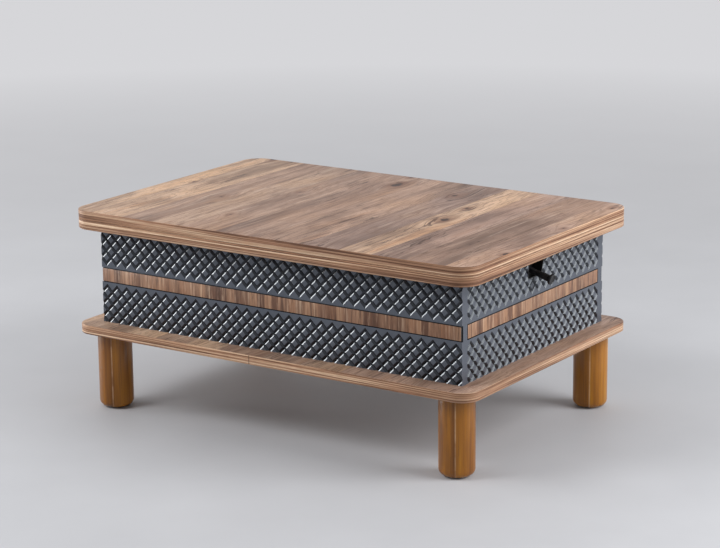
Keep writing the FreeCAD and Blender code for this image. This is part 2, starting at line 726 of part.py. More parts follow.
# Ties weld each pair of arms together below the crossing. The centre axle is headed outside the outer arms.
tie_x = "tie_offset * closed_reach / arm_length"
centre_z = "(lower_axle_z + upper_axle_z) / 2"
tie_z = f"{centre_z} - tie_offset * closed_rise / arm_length"
for name, x in (("outer_arm", tie_x), ("inner_arm", f"-{tie_x}")):
    tie = rod(f"{name}_tie", "tie_diameter", f"2 * {name}_y - arm_thickness", x, "0", tie_z, ALONG_Y)
    node(tie, f"{name}_tie")
head_inner = "outer_arm_y + arm_thickness / 2 + pivot_end_play"
head_outer = f"{head_inner} + axle_head_thickness"
centre = turned("centre_axle", [
    ("0", f"-({head_outer})"), (head_radius, f"-({head_outer})"), (head_radius, f"-({head_inner})"),
    (axle_radius, f"-({head_inner})"), (axle_radius, head_inner), (head_radius, head_inner),
    (head_radius, head_outer), ("0", head_outer)])
node(place(centre, z=centre_z, axis=ALONG_X, angle=QUARTER_TURN), "centre_axle")


# Upper frame: three flat bars across the rails, with flush screws and slippery pads under the leaf.
def cross_bar(label, x, width, holes=()):
    body = new_body(label)
    sketch = new_sketch(body, "XY_Plane")
    draw_outline(sketch, rectangle(f"-{width} / 2", "-rail_y", f"{width} / 2", "rail_y"))
    for side in SIDES.values():
        draw_circle(sketch, "0", f"{side} * rail_screw_y", bar_screw_hole)
    for y, diameter in holes:
        draw_circle(sketch, "0", y, diameter)
    pad(body, sketch, "bar_thickness")
    sketch = new_sketch(body, "XY_Plane", "bar_thickness")
    for side in SIDES.values():
        draw_circle(sketch, "0", f"{side} * rail_screw_y", "bar_screw_head + 2 * fit_clearance")
    cut_into(body, sketch, "bar_screw_head_height")
    return node(place(body, x, "0", "upper_rail_top"), label)


cross_bar("left_cross_bar", "-bar_x", "bar_width")
cross_bar("pivot_cross_bar", "turn_offset", "pivot_bar_width",
          [("turn_offset", "bush_diameter + 2 * fit_clearance")])
cross_bar("right_cross_bar", "bar_x", "bar_width")

bar_shank = "bar_screw_diameter / 2"
bar_screw_foot = "-bar_thickness - rail_wall"
bar_screw = turned("bar_screw", [
    ("0", bar_screw_foot), (bar_shank, bar_screw_foot), (bar_shank, "-bar_screw_head_height"),
    ("bar_screw_head / 2", "-bar_screw_head_height"), ("bar_screw_head / 2", "0"), ("0", "0")])
bar_screw_spots = [(x, f"{side} * rail_screw_y") for x in bar_steps for side in SIDES.values()]
group("cross_bar_screws", bar_screw, upright_at(bar_screw_spots, "frame_top"))

leaf_pad = rod("leaf_pad", "pad_diameter", "pad_thickness")
pad_spots = four_corners("bar_x", "pad_y") + [("turn_offset", "-pad_y")]
group("leaf_pads", leaf_pad, upright_at(pad_spots, "frame_top"))

# Pivot of the top: a flanged bush in the wide bar, a flanged spindle let into the leaf, and its nut.
bush_bore = "spindle_diameter / 2 + fit_clearance"
bush = turned("pivot_bush", [
    (bush_bore, "-bar_thickness - bush_tail"), ("bush_diameter / 2", "-bar_thickness - bush_tail"),
    ("bush_diameter / 2", "0"), ("bush_flange_diameter / 2", "0"),
    ("bush_flange_diameter / 2", "pad_thickness"), (bush_bore, "pad_thickness")])
node(place(bush, "turn_offset", "turn_offset", "frame_top"), "pivot_bush")

shoulder = "bush_bottom - pivot_end_play - leaf_bottom"
thread_end = f"{shoulder} - pivot_nut_height"
flange_radius = "spindle_flange_diameter / 2"
spindle = turned("pivot_spindle", [
    ("0", thread_end), ("spindle_thread / 2", thread_end), ("spindle_thread / 2", shoulder),
    ("spindle_diameter / 2", shoulder), ("spindle_diameter / 2", "0"), (flange_radius, "0"),
    (flange_radius, "spindle_flange_thickness"), ("0", "spindle_flange_thickness")])
node(place(spindle, "turn_offset", "turn_offset", "leaf_bottom"), "pivot_spindle")
pivot_nut = hex_nut("pivot_nut", "pivot_nut_across_corners", "pivot_nut_height",
                    "spindle_thread + 2 * fit_clearance")
node(place(pivot_nut, "turn_offset", "turn_offset", f"leaf_bottom + {thread_end}"), "pivot_nut")

# Gas spring: the tube hangs on the upper roller axle, the rod is nutted to the bracket at the right end.
tube_turn = turned("gas_tube_wall", [
    ("0", "0"), ("gas_tube_diameter / 2", "0"), ("gas_tube_diameter / 2", "gas_tube_length"),
    ("gas_bore / 2", "gas_tube_length"), ("gas_bore / 2", "gas_start"), ("0", "gas_start")])
place(tube_turn, "-axle_x", "0", "upper_axle_z", ALONG_Y, QUARTER_TURN)
eye = rod("gas_eye", "gas_eye_diameter", "gas_eye_width", "-axle_x", "0", "upper_axle_z", ALONG_Y)
eye_hole = rod("gas_eye_hole", "axle_hole", "gas_eye_width + 2 * overrun", "-axle_x", "0", "upper_axle_z",
               ALONG_Y)
node(cut("gas_tube", fuse("gas_tube_and_eye", [tube_turn, eye]), eye_hole), "gas_tube")
gland = turned("gas_tube_gland", rectangle(
    "gas_rod_diameter / 2 + fit_clearance", "gas_tube_length - gland_length",
    "gas_bore / 2 - fit_clearance", "gas_tube_length"))
node(place(gland, "-axle_x", "0", "upper_axle_z", ALONG_Y, QUARTER_TURN), "gas_tube_gland")

rod_length = "rod_end_x - piston_x"
pin_bore = "release_pin_diameter / 2 + fit_clearance"
pin_seat = f"{rod_length} - (release_pin_length - release_tip_x + rod_end_x) - overrun"
piston_radius = "gas_bore / 2 - fit_clearance"
rod_radius = "gas_rod_diameter / 2"
gas_rod = turned("gas_rod", [
    ("0", "0"), (piston_radius, "0"), (piston_radius, "piston_length"), (rod_radius, "piston_length"),
    (rod_radius, rod_length), (pin_bore, rod_length), (pin_bore, pin_seat), ("0", pin_seat)])
node(place(gas_rod, "piston_x", "0", "upper_axle_z", ALONG_Y, QUARTER_TURN), "gas_rod")

rod_hole = "gas_rod_diameter + 2 * fit_clearance"
rod_nut = hex_nut("rod_nut", "rod_nut_across_corners", "rod_nut_height", rod_hole)
group("gas_rod_nuts", rod_nut, [
    ("bracket_anchor_x - rod_nut_height", "0", "upper_axle_z", ALONG_Y, QUARTER_TURN),
    ("bracket_anchor_x + bracket_anchor_wall", "0", "upper_axle_z", ALONG_Y, QUARTER_TURN)])

# Lever bracket: a plate under the right bar, an anchor for the gas rod, two cheeks for the lever's pin and a
# mask behind the mouth.
bracket_top = "upper_rail_top"
bracket_under = "upper_rail_top - bracket_wall"
bracket_start = "(bar_x - bar_width / 2)"
mask_low = "notch_z - bracket_mask_lap"
mask_left = "(notch_left + bracket_mask_lap)"
mask_right = "(notch_right + notch_flare + bracket_mask_lap)"
cheek_y = "(lever_hub_width / 2 + bracket_cheek_gap + bracket_wall / 2)"
cheek_low = "lever_z - lever_hub_diameter / 2"
anchor_low = "upper_rail_top - bracket_anchor_drop"
bracket_plates = [
    block("bracket_plate", f"mask_x - {bracket_start}", "2 * bracket_half_width", "bracket_wall",
          f"(mask_x + {bracket_start}) / 2", "0", bracket_under),
    block("bracket_anchor", "bracket_anchor_wall", "2 * bracket_anchor_half_width", "bracket_anchor_drop",
          "bracket_anchor_x + bracket_anchor_wall / 2", "0", anchor_low),
    block("bracket_mask", "bracket_wall", f"{mask_left} + {mask_right}", f"{bracket_top} - ({mask_low})",
          "mask_x - bracket_wall / 2", f"({mask_right} - {mask_left}) / 2", mask_low)]
for name, side in SIDES.items():
    bracket_plates.append(
        block(f"bracket_cheek_{name}", "bracket_cheek_length", "bracket_wall",
              f"{bracket_top} - ({cheek_low})", "lever_x", f"{side} * {cheek_y}", cheek_low))
lever_pin_hole = "lever_pin_diameter + 2 * fit_clearance"
slot_low = "lever_z + lever_arm_rise - bracket_slot_height / 2"
bracket_holes = [
    rod("bracket_rod_hole", rod_hole, "bracket_anchor_wall + 2 * overrun",
        "bracket_anchor_x + bracket_anchor_wall / 2", "0", "upper_axle_z", ALONG_X),
    rod("bracket_pin_hole", lever_pin_hole, "2 * bracket_half_width + 2 * overrun",
        "lever_x", "0", "lever_z", ALONG_Y),
    block("bracket_slot", "bracket_wall + 2 * overrun", "2 * bracket_slot_half_width",
          "bracket_slot_height", "mask_x - bracket_wall / 2 + overrun", "0", slot_low)]
bracket_openings = fuse("bracket_openings", bracket_holes)
node(cut("lever_bracket", fuse("bracket_folded", bracket_plates), bracket_openings), "lever_bracket")

pin_half = f"{cheek_y} + bracket_wall / 2"
pin_radius = "lever_pin_diameter / 2"
pin_head_top = f"{pin_half} + lever_pin_head_thickness"
lever_pin = turned("lever_pivot_pin", [
    ("0", f"-({pin_half})"), (pin_radius, f"-({pin_half})"), (pin_radius, pin_half),
    ("lever_pin_head / 2", pin_half), ("lever_pin_head / 2", pin_head_top), ("0", pin_head_top)])
node(place(lever_pin, "lever_x", "0", "lever_z", ALONG_X, QUARTER_TURN), "lever_pivot_pin")

# Release lever: hub, rounded toe above it, and an arm that droops out through the mouth to a round tang.
droop = math.radians(number("lever_droop"))
toe_across = f"-lever_toe_offset * {math.cos(droop)!r} - lever_toe_height * {math.sin(droop)!r}"
toe_up = f"-lever_toe_offset * {math.sin(droop)!r} + lever_toe_height * {math.cos(droop)!r}"
lever_solid = fuse("lever_solid", [
    rod("lever_hub", "lever_hub_diameter", "lever_hub_width", axis=ALONG_Y),
    rod("lever_toe", "lever_toe_diameter", "lever_arm_width", toe_across, "0", toe_up, ALONG_Y),
    block("lever_arm", "knob_start", "lever_arm_width", "lever_arm_width", "knob_start / 2", "0",
          "lever_arm_rise - lever_arm_width / 2"),
    rod("lever_tang", "lever_tang_diameter", "2 * lever_tang_length", "knob_start", "0", "lever_arm_rise",
        ALONG_X)])
lever_hole = rod("lever_hole", lever_pin_hole, "lever_hub_width + 2 * overrun", axis=ALONG_Y)
lever = cut("release_lever", lever_solid, lever_hole)
node(place(lever, "lever_x", "0", "lever_z", ALONG_Y, number("lever_droop")), "release_lever")

# Knob: a neck that swells to the grip and ends in a wide flange, bored for the tang.
knob_bore = "lever_tang_diameter / 2 + fit_clearance"
knob_bore_end = "lever_tang_length + fit_clearance"
flange_start = "knob_length - knob_flange_thickness - knob_flare_length"
knob = turned("lever_knob", [
    (knob_bore, "0"), ("knob_neck_diameter / 2", "0"), ("knob_grip_diameter / 2", "knob_length / 2"),
    ("knob_grip_diameter / 2", flange_start),
    ("knob_flange_diameter / 2", "knob_length - knob_flange_thickness"),
    ("knob_flange_diameter / 2", "knob_length - knob_rim_bevel"), ("knob_end_diameter / 2", "knob_length"),
    ("0", "knob_length"), ("0", knob_bore_end), (knob_bore, knob_bore_end)])
knob_along = f"knob_start * {math.cos(droop)!r} + lever_arm_rise * {math.sin(droop)!r}"
knob_up = f"lever_arm_rise * {math.cos(droop)!r} - knob_start * {math.sin(droop)!r}"
knob_turn = QUARTER_TURN + number("lever_droop")
node(place(knob, f"lever_x + {knob_along}", "0", f"lever_z + {knob_up}", ALONG_Y, knob_turn), "lever_knob")

release_pin = rod("release_pin", "release_pin_diameter", "release_pin_length",
                  "release_tip_x - release_pin_length / 2", "0", "upper_axle_z", ALONG_X)
node(release_pin, "release_pin")

# Leaves of the top: the lower one is let in below for the spindle flange, both are let in for the hinges.
hinge_steps = [f"{step} * hinge_spacing" for step in (-1, 0, 1)]


def leaf(label, bottom, recess_height, recess_up):
    body = new_body(label)
    sketch = new_sketch(body, "XY_Plane")
    draw_outline(sketch, rectangle("-board_length / 2", "-board_depth / 2",
                                   "board_length / 2", "leaf_rear"))
    fillet(body, pad(body, sketch, "board_thickness"), "top_corner_radius", is_upright)
    sketch = new_sketch(body, "XY_Plane", recess_height)
    half = "(hinge_length / 2 + hinge_play)"
    for x in hinge_steps:
        draw_outline(sketch, rectangle(f"{x} - {half}", "fold_y - hinge_plate_width - hinge_play",
                                       f"{x} + {half}", "leaf_rear + overrun"))
    cut_into(body, sketch, "hinge_plate_thickness + fit_clearance", upwards=recess_up)
    for x in hinge_steps:
        sketch = new_sketch(body, "YZ_Plane", x)
        draw_circle(sketch, "fold_y", f"fold_z - {bottom}", "knuckle_diameter + 2 * knuckle_relief")
        cut_into(body, sketch, f"2 * {half}", side="Symmetric")
    return place(body, z=bottom)


lower_leaf = leaf("lower_leaf", "leaf_bottom", "board_thickness", False)
sketch = new_sketch(lower_leaf, "XY_Plane")
draw_circle(sketch, "turn_offset", "turn_offset", "spindle_flange_diameter + 2 * fit_clearance")
cut_into(lower_leaf, sketch, "spindle_flange_thickness + fit_clearance", upwards=True)
node(lower_leaf, "lower_leaf")
node(leaf("upper_leaf", "upper_leaf_bottom", "0", True), "upper_leaf")

# Hinges: plates let into the facing sides of the leaves, with knuckles and a pin on the fold line.
third = "hinge_length / 3"
knuckle_length = f"({third} - hinge_play)"
outer_thirds = [f"-({third})", third]
plate_rear = "(fold_y - knuckle_diameter / 2 - knuckle_relief)"
plate_front = "(fold_y - hinge_plate_width)"


def hinge_plate(label, bottom, knuckle_places):
    parts = [block(label + "_plate", "hinge_length", f"{plate_rear} - {plate_front}",
                   "hinge_plate_thickness", "0", f"({plate_rear} + {plate_front}) / 2", bottom)]
    for index, x in enumerate(knuckle_places):
        parts.append(block(f"{label}_tongue_{index}", knuckle_length, f"fold_y - {plate_front}",
                           "hinge_plate_thickness", x, f"(fold_y + {plate_front}) / 2", bottom))
        parts.append(rod(f"{label}_knuckle_{index}", "knuckle_diameter", knuckle_length,
                         x, "fold_y", "fold_z", ALONG_X))
    hole = rod(label + "_pin_hole", "hinge_pin_diameter + 2 * fit_clearance",
               "hinge_length + 2 * overrun", "0", "fold_y", "fold_z", ALONG_X)
    return cut(label, fuse(label + "_folded", parts), hole)


hinge_places = [(x, "0", "0", ALONG_Z, 0) for x in hinge_steps]
lower_plate = hinge_plate("lower_hinge_plate", "leaf_top - hinge_plate_thickness", outer_thirds)
upper_plate = hinge_plate("upper_hinge_plate", "upper_leaf_bottom", ["0"])
group("lower_hinge_plates", lower_plate, hinge_places)
group("upper_hinge_plates", upper_plate, hinge_places)
hinge_pin = rod("hinge_pin", "hinge_pin_diameter", "hinge_length", "0", "fold_y", "fold_z", ALONG_X)
group("hinge_pins", hinge_pin, hinge_places)

# Check the document, then write each piece.
doc.recompute()
for item in doc.Objects:
    if "Invalid" in item.State or "Error" in item.State:
        raise RuntimeError(f"{item.Label} failed: {item.State}")
for piece in nodes:
    if piece.Shape.isNull() or not piece.Shape.isValid() or not piece.Shape.Solids:
        raise RuntimeError(f"{piece.Label} has no valid solid")
for piece in nodes:
    piece.Shape.exportStep(f"parts/{piece.Label}.step")
    solids = piece.Shape.Solids
    print(piece.Label, len(solids), "solids", round(sum(solid.Volume for solid in solids)), "mm3")
swing = number("raised_angle") - closed_angle
lift_height = number("arm_length * sin(raised_angle) - closed_rise")
print(len(nodes), "nodes; the arms swing", swing, "degrees and lift the top", lift_height, "mm")
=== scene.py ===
import bmesh
import bpy
import json
import math
from mathutils import Matrix, Vector


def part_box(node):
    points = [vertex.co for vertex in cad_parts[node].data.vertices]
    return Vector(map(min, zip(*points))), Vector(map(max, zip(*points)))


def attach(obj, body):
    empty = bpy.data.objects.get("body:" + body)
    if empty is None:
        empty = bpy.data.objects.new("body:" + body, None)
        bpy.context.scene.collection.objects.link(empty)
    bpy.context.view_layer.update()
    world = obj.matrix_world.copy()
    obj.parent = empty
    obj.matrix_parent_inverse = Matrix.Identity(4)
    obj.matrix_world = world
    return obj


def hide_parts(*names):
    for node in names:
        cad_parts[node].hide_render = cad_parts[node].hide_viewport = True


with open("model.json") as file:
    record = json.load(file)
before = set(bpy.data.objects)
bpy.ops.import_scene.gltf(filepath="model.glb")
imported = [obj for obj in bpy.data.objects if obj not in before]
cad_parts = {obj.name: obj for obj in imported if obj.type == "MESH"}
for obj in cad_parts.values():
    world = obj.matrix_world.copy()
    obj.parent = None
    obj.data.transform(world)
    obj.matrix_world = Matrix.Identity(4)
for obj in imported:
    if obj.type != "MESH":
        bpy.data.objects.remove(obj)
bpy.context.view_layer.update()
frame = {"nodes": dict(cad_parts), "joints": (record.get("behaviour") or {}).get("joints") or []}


# Legs: four hardwood posts, turned, rounded at the foot, stained golden brown and lacquered to a gloss.
# A pale line down each post is a painted highlight, with painted shade in a band beside it. Each post hangs
# on a bolt screwed into its top, which a tee nut in the base board draws up.
def tint(red, green, blue):
    """A colour read off a screen, 0 to 255, as the shader wants it."""
    shares = [level / 255 for level in (red, green, blue)]
    return [((share + 0.055) / 1.055) ** 2.4 if share > 0.04 else share / 12.92 for share in shares] + [1]


def new_finish(name, **sockets):
    """A material and its shader, with the sockets that are the same all over set at once."""
    finish = bpy.data.materials.new(name)
    finish.use_nodes = True
    for socket, value in sockets.items():
        finish.node_tree.nodes["Principled BSDF"].inputs[socket.replace("_", " ")].default_value = value
    return finish


def add(finish, kind, inputs, output=0, **settings):
    """Add a node, set its inputs to values or to other nodes' outputs, and give one of its outputs."""
    node = finish.node_tree.nodes.new("ShaderNode" + kind)
    for name, value in settings.items():
        setattr(node, name, value)
    for key, value in inputs.items():
        if isinstance(value, bpy.types.NodeSocket):
            finish.node_tree.links.new(value, node.inputs[key])
        else:
            node.inputs[key].default_value = value
    return node.outputs[output]


def shade(finish, **sockets):
    """Link outputs to the shader's sockets."""
    shader = finish.node_tree.nodes["Principled BSDF"]
    for socket, output in sockets.items():
        finish.node_tree.links.new(output, shader.inputs[socket.replace("_", " ")])


def place_on(finish, scale=(1, 1, 1), turn=(0, 0, 0)):
    """Places on the piece in metres, stretched or turned."""
    spot = add(finish, "TexCoord", {}, "Object")
    return add(finish, "Mapping", {"Vector": spot, "Scale": scale, "Rotation": turn})


def noise(finish, vector, scale, detail=4.0, rough=0.55, bend=0.0):
    settings = {"Vector": vector, "Scale": scale, "Detail": detail, "Roughness": rough, "Distortion": bend}
    return add(finish, "TexNoise", settings, "Fac")


def ramp(finish, factor, stops):
    """Colours along a factor: pairs of place and colour."""
    output = add(finish, "ValToRGB", {"Fac": factor})
    bar = output.node.color_ramp
    for place, colour in stops[1:-1]:
        bar.elements.new(place)
    for element, (place, colour) in zip(bar.elements, stops):
        element.position = place
        element.color = colour
    return output


def levels(finish, factor, low, high, to_low=0.0, to_high=1.0):
    """Stretch a factor from one range to another, held at both ends."""
    spans = {"Value": factor, "From Min": low, "From Max": high, "To Min": to_low, "To Max": to_high}
    return add(finish, "MapRange", spans)


def math_on(finish, kind, *values):
    return add(finish, "Math", dict(enumerate(values)), operation=kind)


def blend_on(finish, factor, under, over, kind="MIX"):
    """Lay one colour over another."""
    inputs = {"Factor": factor, 6: under, 7: over}
    return add(finish, "Mix", inputs, 2, data_type="RGBA", blend_type=kind)


def stain(finish, under, colour, factor, low, high, to_low, to_high):
    """Lay a colour over another as strongly as the levels of a factor say."""
    return blend_on(finish, levels(finish, factor, low, high, to_low, to_high), under, colour)


def bump_on(finish, height, depth, strength=1.0):
    return add(finish, "Bump", {"Height": height, "Distance": depth, "Strength": strength})


leg_finish = new_finish("leg_lacquer", Coat_Weight=0.4, Coat_Roughness=0.06, Specular_IOR_Level=0.25)
leg_streaks = noise(leg_finish, place_on(leg_finish, (1, 1, 0.05)), 62, 6, 0.62, 0.5)
leg_figure = noise(leg_finish, place_on(leg_finish, (1, 1, 0.12)), 17, 3, 0.5, 1.2)
leg_pores = noise(leg_finish, place_on(leg_finish, (1, 1, 0.03)), 420, 3, 0.6)
leg_brown = ramp(leg_finish, leg_streaks, [
    (0.28, tint(104, 58, 2)), (0.45, tint(152, 96, 8)), (0.58, tint(170, 112, 14)),
    (0.75, tint(192, 136, 30))])
leg_shades = ramp(leg_finish, leg_figure, [(0.3, tint(196, 182, 162)), (0.62, tint(255, 252, 246))])
leg_brown = blend_on(leg_finish, 1.0, leg_brown, leg_shades, "MULTIPLY")
leg_brown = stain(leg_finish, leg_brown, tint(96, 58, 16), leg_pores, 0.36, 0.44, 0.35, 0.0)

# Painted highlight and shade: how far a place lies from an upright plane through the axis of its post.
leg_from_middle = (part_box("leg_rear_right")[0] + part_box("leg_rear_right")[1]) / 2
leg_axes = add(leg_finish, "SeparateXYZ", {"Vector": place_on(leg_finish)}).node.outputs
highlight_plane_normal = (0.894, 0.448)
highlight_plane_far = 0
for axis, facing in enumerate(highlight_plane_normal):
    leg_side = math_on(leg_finish, "SIGN", leg_axes[axis])
    from_axis = math_on(leg_finish, "MULTIPLY_ADD", leg_side, -leg_from_middle[axis], leg_axes[axis])
    highlight_plane_far = math_on(leg_finish, "MULTIPLY_ADD", from_axis, facing, highlight_plane_far)
highlight_line_near = math_on(leg_finish, "ABSOLUTE", highlight_plane_far)
# A darker band on one side of the plane: painted shade.
leg_painted_shade = ramp(leg_finish, levels(leg_finish, highlight_plane_far, -0.02, 0.004), [
    (0.0, tint(255, 255, 255)), (0.7, tint(206, 196, 186)), (0.83, tint(206, 196, 186)),
    (0.87, tint(255, 255, 255))])
leg_brown = blend_on(leg_finish, 0.8, leg_brown, leg_painted_shade, "MULTIPLY")
# A pale, broken line along the plane: painted highlight.
highlight_breaks = levels(leg_finish, noise(leg_finish, place_on(leg_finish), 34, 3), 0.4, 0.6, 0.15, 0.5)
painted_highlight = math_on(leg_finish, "MULTIPLY", highlight_breaks, levels(leg_finish, highlight_line_near, 0.0017, 0.0004))
leg_brown = blend_on(leg_finish, painted_highlight, leg_brown, tint(214, 178, 140))
shade(leg_finish, Base_Color=leg_brown, Roughness=levels(leg_finish, leg_streaks, 0.3, 0.7, 0.4, 0.3),
      Normal=bump_on(leg_finish, leg_pores, 0.00012, 0.4))


def start(name, primitive, **size):
    """Add a primitive with nothing else selected, and name it."""
    bpy.ops.object.select_all(action="DESELECT")
    primitive(**size)
    piece = bpy.context.object
    piece.name = piece.data.name = name
    return piece


def edit(kind, wanted):
    """Go into edit mode with only the edges or faces selected whose middle, or normal, the test accepts."""
    bpy.ops.object.mode_set(mode="EDIT")
    bpy.ops.mesh.select_mode(type=kind)
    bpy.ops.mesh.select_all(action="DESELECT")
    mesh = bmesh.from_edit_mesh(bpy.context.object.data)
    for item in mesh.faces if kind == "FACE" else mesh.edges:
        item.select_set(wanted(item))
    bmesh.update_edit_mesh(bpy.context.object.data)


def middle(item):
    return sum((vert.co for vert in item.verts), Vector()) / len(item.verts)


def settle(piece, smooth_angle=math.radians(30)):
    """Back to object mode, with the place in the mesh and the shading smooth but for sharp edges."""
    bpy.ops.object.mode_set(mode="OBJECT")
    bpy.ops.object.transform_apply(location=True, rotation=True, scale=True)
    bpy.ops.object.shade_smooth_by_angle(angle=smooth_angle)
    return piece


def dress(piece, slot, body, *replaced, finishes):
    """Give a new piece its finishes, the body it rides on and the nodes it stands for. The slot is not used.
    """
    piece.data.materials.clear()
    for finish in finishes:
        piece.data.materials.append(finish)
    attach(piece, body)
    if replaced:
        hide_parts(*replaced)


hair = 0.0001
leg_foot_round = 0.013
leg_top_arris = 0.0008
for leg in ("leg_front_left", "leg_front_right", "leg_rear_left", "leg_rear_right"):
    low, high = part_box(leg)
    centre = (low + high) / 2
    post = start(leg + "_post", bpy.ops.mesh.primitive_cylinder_add, vertices=96,
                 radius=(high.x - low.x) / 2, depth=high.z - low.z, location=centre)
    half_height = (high.z - low.z) / 2
    edit("EDGE", lambda edge: middle(edge).z < hair - half_height)
    bpy.ops.mesh.bevel(offset=leg_foot_round, segments=9, affect="EDGES")
    edit("EDGE", lambda edge: middle(edge).z > half_height - hair)
    bpy.ops.mesh.bevel(offset=leg_top_arris, segments=2, affect="EDGES")
    dress(settle(post), "leg_lacquer", "carcass", leg, finishes=[leg_finish])

# Base board: chipboard with a plank print on both faces and a banded edge, rounded at the corners.
# It carries the case on top and the legs below. The two leaves of the top are cut from the same sheet.
plank_finish = new_finish("plank_laminate", Specular_IOR_Level=0.2)
plank_axes = add(plank_finish, "SeparateXYZ", {"Vector": place_on(plank_finish)}).node.outputs

# Every face of a board shows another part of the sheet, by its height. A slow wave across the board makes
# some planks wider than others.
level_step = 40
sheet_step = 358.3
sheet_start = -127.3
sway_waves = 13
sway_width = 0.016
plank_level = math_on(plank_finish, "MULTIPLY", plank_axes["Z"], level_step)
plank_sheet = math_on(plank_finish, "MULTIPLY_ADD", plank_axes["Z"], sheet_step, sheet_start)
plank_wave = math_on(plank_finish, "SINE", math_on(plank_finish, "MULTIPLY", plank_axes["X"], sway_waves))
plank_sway = math_on(plank_finish, "MULTIPLY", plank_wave, sway_width)
plank_lay = add(plank_finish, "CombineXYZ", {
    "X": math_on(plank_finish, "ADD", plank_axes["Y"], plank_sheet),
    "Y": math_on(plank_finish, "SUBTRACT", plank_sway, plank_axes["X"]), "Z": 0})
plank_boards = add(plank_finish, "TexBrick", {
    "Vector": plank_lay, "Color1": (0, 0, 0, 1), "Color2": (1, 1, 1, 1), "Mortar": (0.5, 0.5, 0.5, 1),
    "Scale": 1, "Mortar Size": 0.0007, "Mortar Smooth": 0.4, "Brick Width": 9, "Row Height": 0.083},
    offset=0.43)
plank_joints = plank_boards.node.outputs["Fac"]

# Knots sit in stretched cells, and the grain swells round them.
knot_spot = add(plank_finish, "CombineXYZ", {
    "X": math_on(plank_finish, "ADD", math_on(plank_finish, "DIVIDE", plank_axes["X"], 0.12), plank_level),
    "Y": math_on(plank_finish, "ADD", math_on(plank_finish, "DIVIDE", plank_axes["Y"], 0.22), plank_level)})
knot_far = add(plank_finish, "TexVoronoi", {"Vector": knot_spot, "Scale": 1, "Randomness": 0.95},
               "Distance", voronoi_dimensions="2D")
knot_outputs = knot_far.node.outputs
knot_chance = add(plank_finish, "SeparateColor", {"Color": knot_outputs["Color"]}).node.outputs
knot_here = levels(plank_finish, knot_chance["Red"], 0.46, 0.48)
knot_size = levels(plank_finish, knot_chance["Green"], 0, 1, 0.4, 1.2)
knot_reach = math_on(plank_finish, "DIVIDE", knot_far, knot_size)
knot_side = add(plank_finish, "VectorMath", {0: knot_spot, 1: knot_outputs["Position"]},
                operation="SUBTRACT")
knot_swell = math_on(plank_finish, "EXPONENT", math_on(
    plank_finish, "MULTIPLY", math_on(plank_finish, "POWER", knot_reach, 2), -9))
knot_swell = math_on(plank_finish, "MULTIPLY", knot_swell, knot_here)
knot_swell = math_on(plank_finish, "MULTIPLY", knot_swell, 0.115)
grain_across = math_on(
    plank_finish, "SUBTRACT", plank_axes["X"],
    math_on(plank_finish, "MULTIPLY", add(plank_finish, "SeparateXYZ", {"Vector": knot_side}), knot_swell))
board_shift = math_on(plank_finish, "MULTIPLY", plank_boards, 9)


def grain_lay(stretch):
    """Places drawn out along the grain, apart on each plank and each face."""
    return add(plank_finish, "CombineXYZ", {
        "X": grain_across, "Y": math_on(plank_finish, "MULTIPLY", plank_axes["Y"], stretch),
        "Z": math_on(plank_finish, "ADD", board_shift, plank_level)})


# Grain: broad shades, ring lines along the contours of the broad shades, streaks, pores and dark cracks.
grain_broad = noise(plank_finish, grain_lay(0.1), 20, 4, 0.5, 0.6)
grain_rings = math_on(plank_finish, "SINE", math_on(plank_finish, "MULTIPLY", grain_broad, 150))
grain_streaks = noise(plank_finish, grain_lay(0.05), 95, 6, 0.72, 0.3)
grain_fine = noise(plank_finish, grain_lay(0.03), 480, 4, 0.65, 0.2)
grain_cracks = noise(plank_finish, grain_lay(0.045), 42, 4, 0.6, 0.9)
patch_lay = add(plank_finish, "CombineXYZ", {
    "X": plank_axes["X"], "Y": math_on(plank_finish, "MULTIPLY", plank_axes["Y"], 0.45), "Z": board_shift})
plank_patches = noise(plank_finish, patch_lay, 10, 3)
plank_colour = ramp(plank_finish, plank_boards, [
    (0.0, tint(148, 124, 111)), (0.25, tint(210, 180, 158)), (0.5, tint(172, 147, 134)),
    (0.72, tint(216, 186, 158)), (1.0, tint(156, 135, 125))])
plank_shades = ramp(plank_finish, grain_broad, [
    (0.3, tint(176, 170, 170)), (0.46, tint(228, 221, 217)), (0.6, tint(255, 250, 246)),
    (0.72, tint(240, 218, 198))])
plank_colour = blend_on(plank_finish, 0.85, plank_colour, plank_shades, "MULTIPLY")
plank_greys = ramp(plank_finish, plank_patches, [
    (0.34, tint(194, 190, 190)), (0.52, tint(250, 248, 248)), (0.7, tint(255, 246, 232))])
plank_colour = blend_on(plank_finish, 0.9, plank_colour, plank_greys, "MULTIPLY")
plank_colour = stain(plank_finish, plank_colour, tint(118, 90, 72), grain_rings, 0.6, 1.0, 0.0, 0.5)
plank_colour = stain(plank_finish, plank_colour, tint(108, 84, 72), grain_streaks, 0.34, 0.47, 0.7, 0.0)
plank_colour = stain(plank_finish, plank_colour, tint(224, 200, 180), grain_streaks, 0.55, 0.72, 0.0, 0.4)
plank_colour = stain(plank_finish, plank_colour, tint(104, 80, 68), grain_fine, 0.38, 0.46, 0.7, 0.0)

